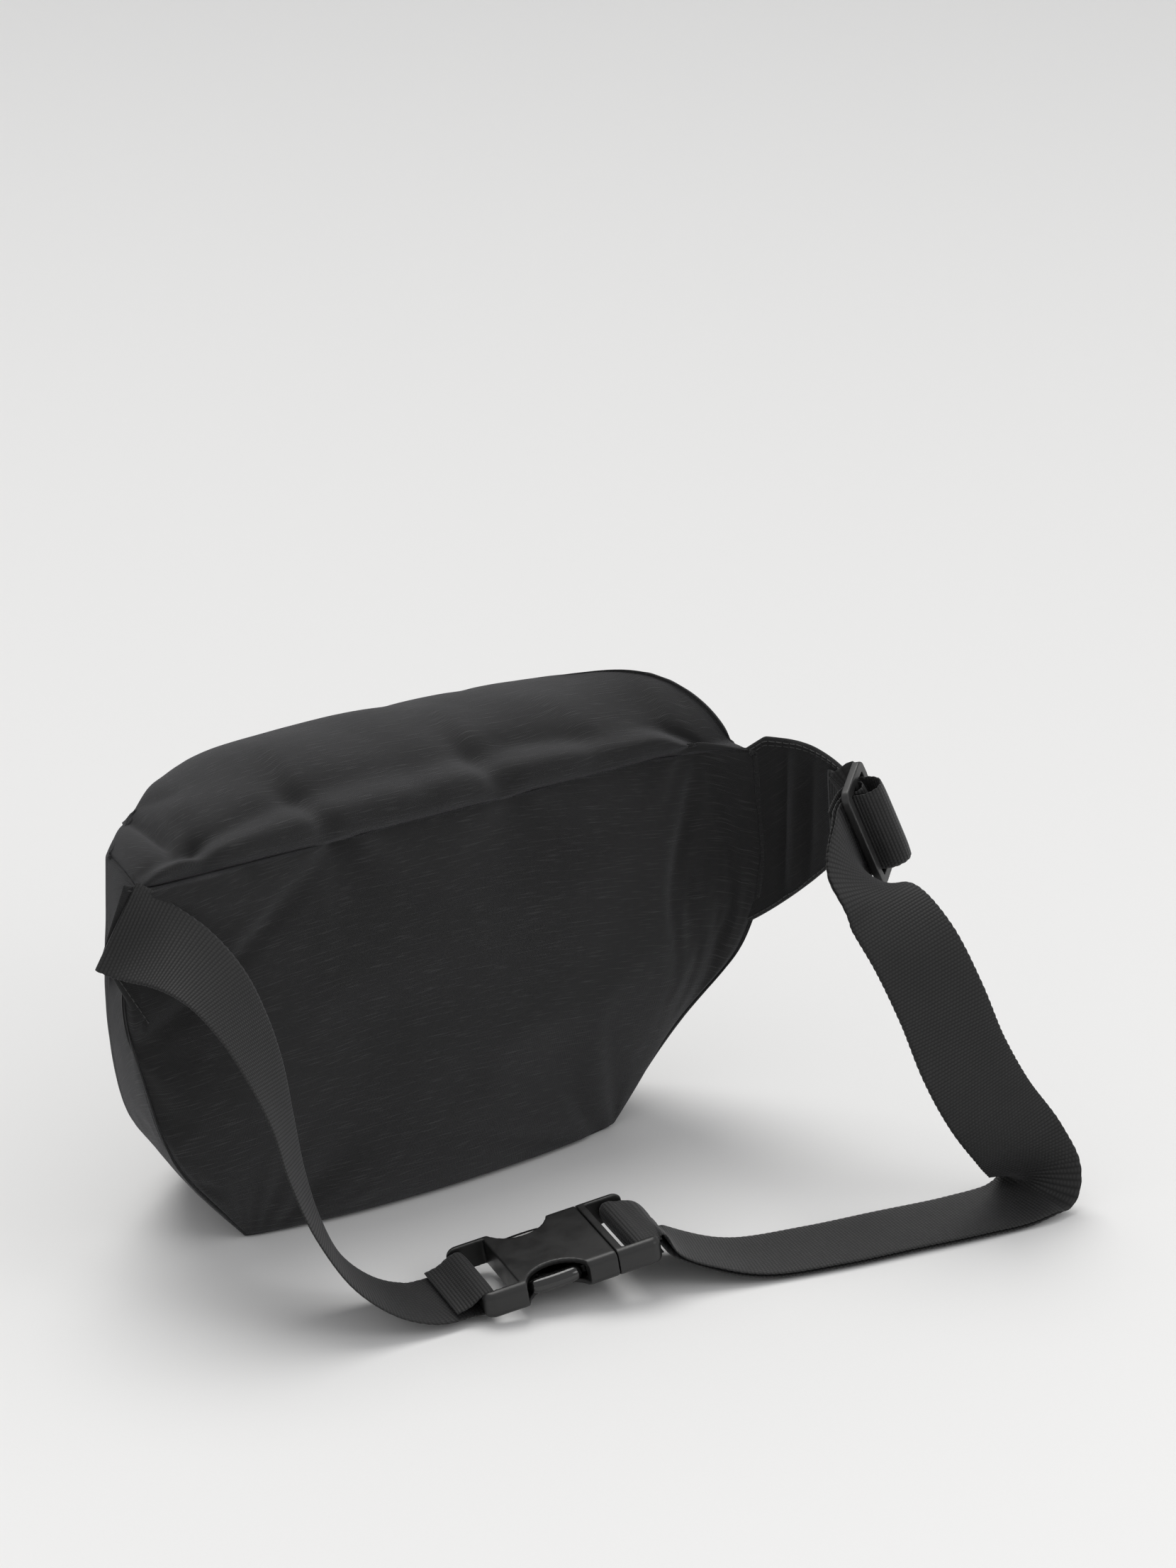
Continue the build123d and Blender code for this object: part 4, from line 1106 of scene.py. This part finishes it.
def moulding(name, material, body, slot, rounding):
    """A new piece with the node's shape and rounded edges; it stands for the node."""
    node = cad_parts[name]
    shape = bmesh.new()
    shape.from_mesh(node.data)
    bmesh.ops.transform(shape, matrix=node.matrix_world, verts=shape.verts)
    bmesh.ops.remove_doubles(shape, verts=shape.verts, dist=0.01 * MM)
    if name.startswith("latch"):
        side = 1 if name == "latch_left" else -1
        sink_arm(shape, side)
        grip_bar(shape, side)
    mesh = bpy.data.meshes.new(name + "_moulding")
    shape.to_mesh(mesh)
    shape.free()
    piece = link(name + "_moulding", mesh)
    skin = piece.modifiers.new("skin", "REMESH")
    skin.mode = "VOXEL"
    skin.voxel_size = MOULDING_GRAIN * MM
    skin.use_smooth_shade = True
    soften = piece.modifiers.new("rounded_edges", "SMOOTH")
    soften.factor = 0.5
    soften.iterations = rounding
    declare(piece, material, body, slot, name)


for name, (material, body, slot, rounding) in MOULDINGS.items():
    moulding(name, material, body, slot, rounding)
for zip_name in ("main_zip", "pocket_zip"):
    for part in ("slider", "pull", "stops"):
        paint(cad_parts[f"{zip_name}_{part}"], ZIP_METAL)

# ---- Floor, light and camera ------------------------------------------------------------------------
CAMERA_AZIMUTH, CAMERA_ELEVATION = 144.5, 21.0
CAMERA_DISTANCE = 2.0
CAMERA_TARGET = (-85.225, -11.001, 151.237)
SENSOR_WIDTH = 36.0
FOCAL_IN_WIDTHS = 4.159132           # focal length over the picture's width
FLOOR_HALF_WIDTH, FLOOR_BEHIND, FLOOR_FRONT = 5.0, 3.2, 2.5          # metres
BACKDROP_HEIGHT, BACKDROP_BEND = 5.0, 1.5
WORLD_COLOUR, WORLD_STRENGTH = (0.965, 0.965, 0.97, 1.0), 0.66
SUN_POWER, SUN_SPREAD_DEG, SUN_COLOUR = 1.42, 42, (1.0, 0.99, 0.97)
SUN_PAST_CAMERA, SUN_ELEVATION = 205, 64
STRIP_POWER, STRIP_SIZE, STRIP_DISTANCE = 2.2, 0.7, 1.6
STRIP_PAST_CAMERA, STRIP_ELEVATION = 62, 34


def towards(azimuth, elevation):
    """The direction of a place seen from the middle: degrees around from the front, and up."""
    a, e = math.radians(azimuth), math.radians(elevation)
    return Vector((math.sin(a) * math.cos(e), -math.cos(a) * math.cos(e), math.sin(e)))


def aim(obj, direction):
    obj.rotation_euler = direction.to_track_quat("Z", "Y").to_euler()


def floor():
    n = Nodes("studio_floor")
    speck = n.noise(n.object_point(), 900.0, detail=3.0)
    n.bump(speck, 0.1, 0.0001)
    n.join(n.grey(n.ramp(speck, 0.80, 0.82), (1.0, 1.0, 0.998)), n.shader.inputs["Base Color"])
    n.set({"Roughness": 0.7})
    a = math.radians(CAMERA_AZIMUTH)
    away = np.array([-math.sin(a), math.cos(a), 0.0])
    side = np.array([away[1], -away[0], 0.0])
    profile = [(-FLOOR_FRONT, 0.0), (FLOOR_BEHIND - 0.05, 0.0), (FLOOR_BEHIND, 0.0)]
    profile += [(FLOOR_BEHIND + BACKDROP_BEND * math.sin(t), BACKDROP_BEND * (1 - math.cos(t)))
                for t in np.linspace(0.1, math.pi / 2, 16)]
    profile.append((FLOOR_BEHIND + BACKDROP_BEND, BACKDROP_HEIGHT))
    points = [(away * d + side * s + np.array([0, 0, h])).tolist()
              for d, h in profile for s in (-FLOOR_HALF_WIDTH, FLOOR_HALF_WIDTH)]
    mesh = bpy.data.meshes.new("studio_sweep")
    mesh.from_pydata(points, [], grid_faces(len(profile), 2))
    shade_smooth(mesh)
    sweep = link("studio_sweep", mesh)
    paint(sweep, n.material)


def lights():
    world = bpy.data.worlds.new("studio_world")
    world.use_nodes = True
    background = world.node_tree.nodes["Background"]
    background.inputs["Color"].default_value = WORLD_COLOUR
    background.inputs["Strength"].default_value = WORLD_STRENGTH
    bpy.context.scene.world = world
    bpy.context.scene.view_settings.view_transform = "Standard"

    sun = bpy.data.lights.new("overhead", "SUN")
    sun.angle = math.radians(SUN_SPREAD_DEG)
    sun.energy = SUN_POWER
    sun.color = SUN_COLOUR
    aim(link("overhead", sun), towards(CAMERA_AZIMUTH + SUN_PAST_CAMERA, SUN_ELEVATION))

    strip = bpy.data.lights.new("side_strip", "AREA")
    strip.shape = "DISK"
    strip.size = STRIP_SIZE
    strip.energy = STRIP_POWER
    strip_obj = link("side_strip", strip)
    direction = towards(CAMERA_AZIMUTH + STRIP_PAST_CAMERA, STRIP_ELEVATION)
    strip_obj.location = direction * STRIP_DISTANCE
    aim(strip_obj, direction)


def camera():
    data = bpy.data.cameras.new("camera")
    data.sensor_fit = "HORIZONTAL"
    data.sensor_width = SENSOR_WIDTH
    data.lens = SENSOR_WIDTH * FOCAL_IN_WIDTHS
    obj = link("camera", data)
    direction = towards(CAMERA_AZIMUTH, CAMERA_ELEVATION)
    obj.location = Vector(place(CAMERA_TARGET)) + direction * CAMERA_DISTANCE
    aim(obj, direction)
    bpy.context.scene.camera = obj


floor()
lights()
camera()

bpy.context.view_layer.update()
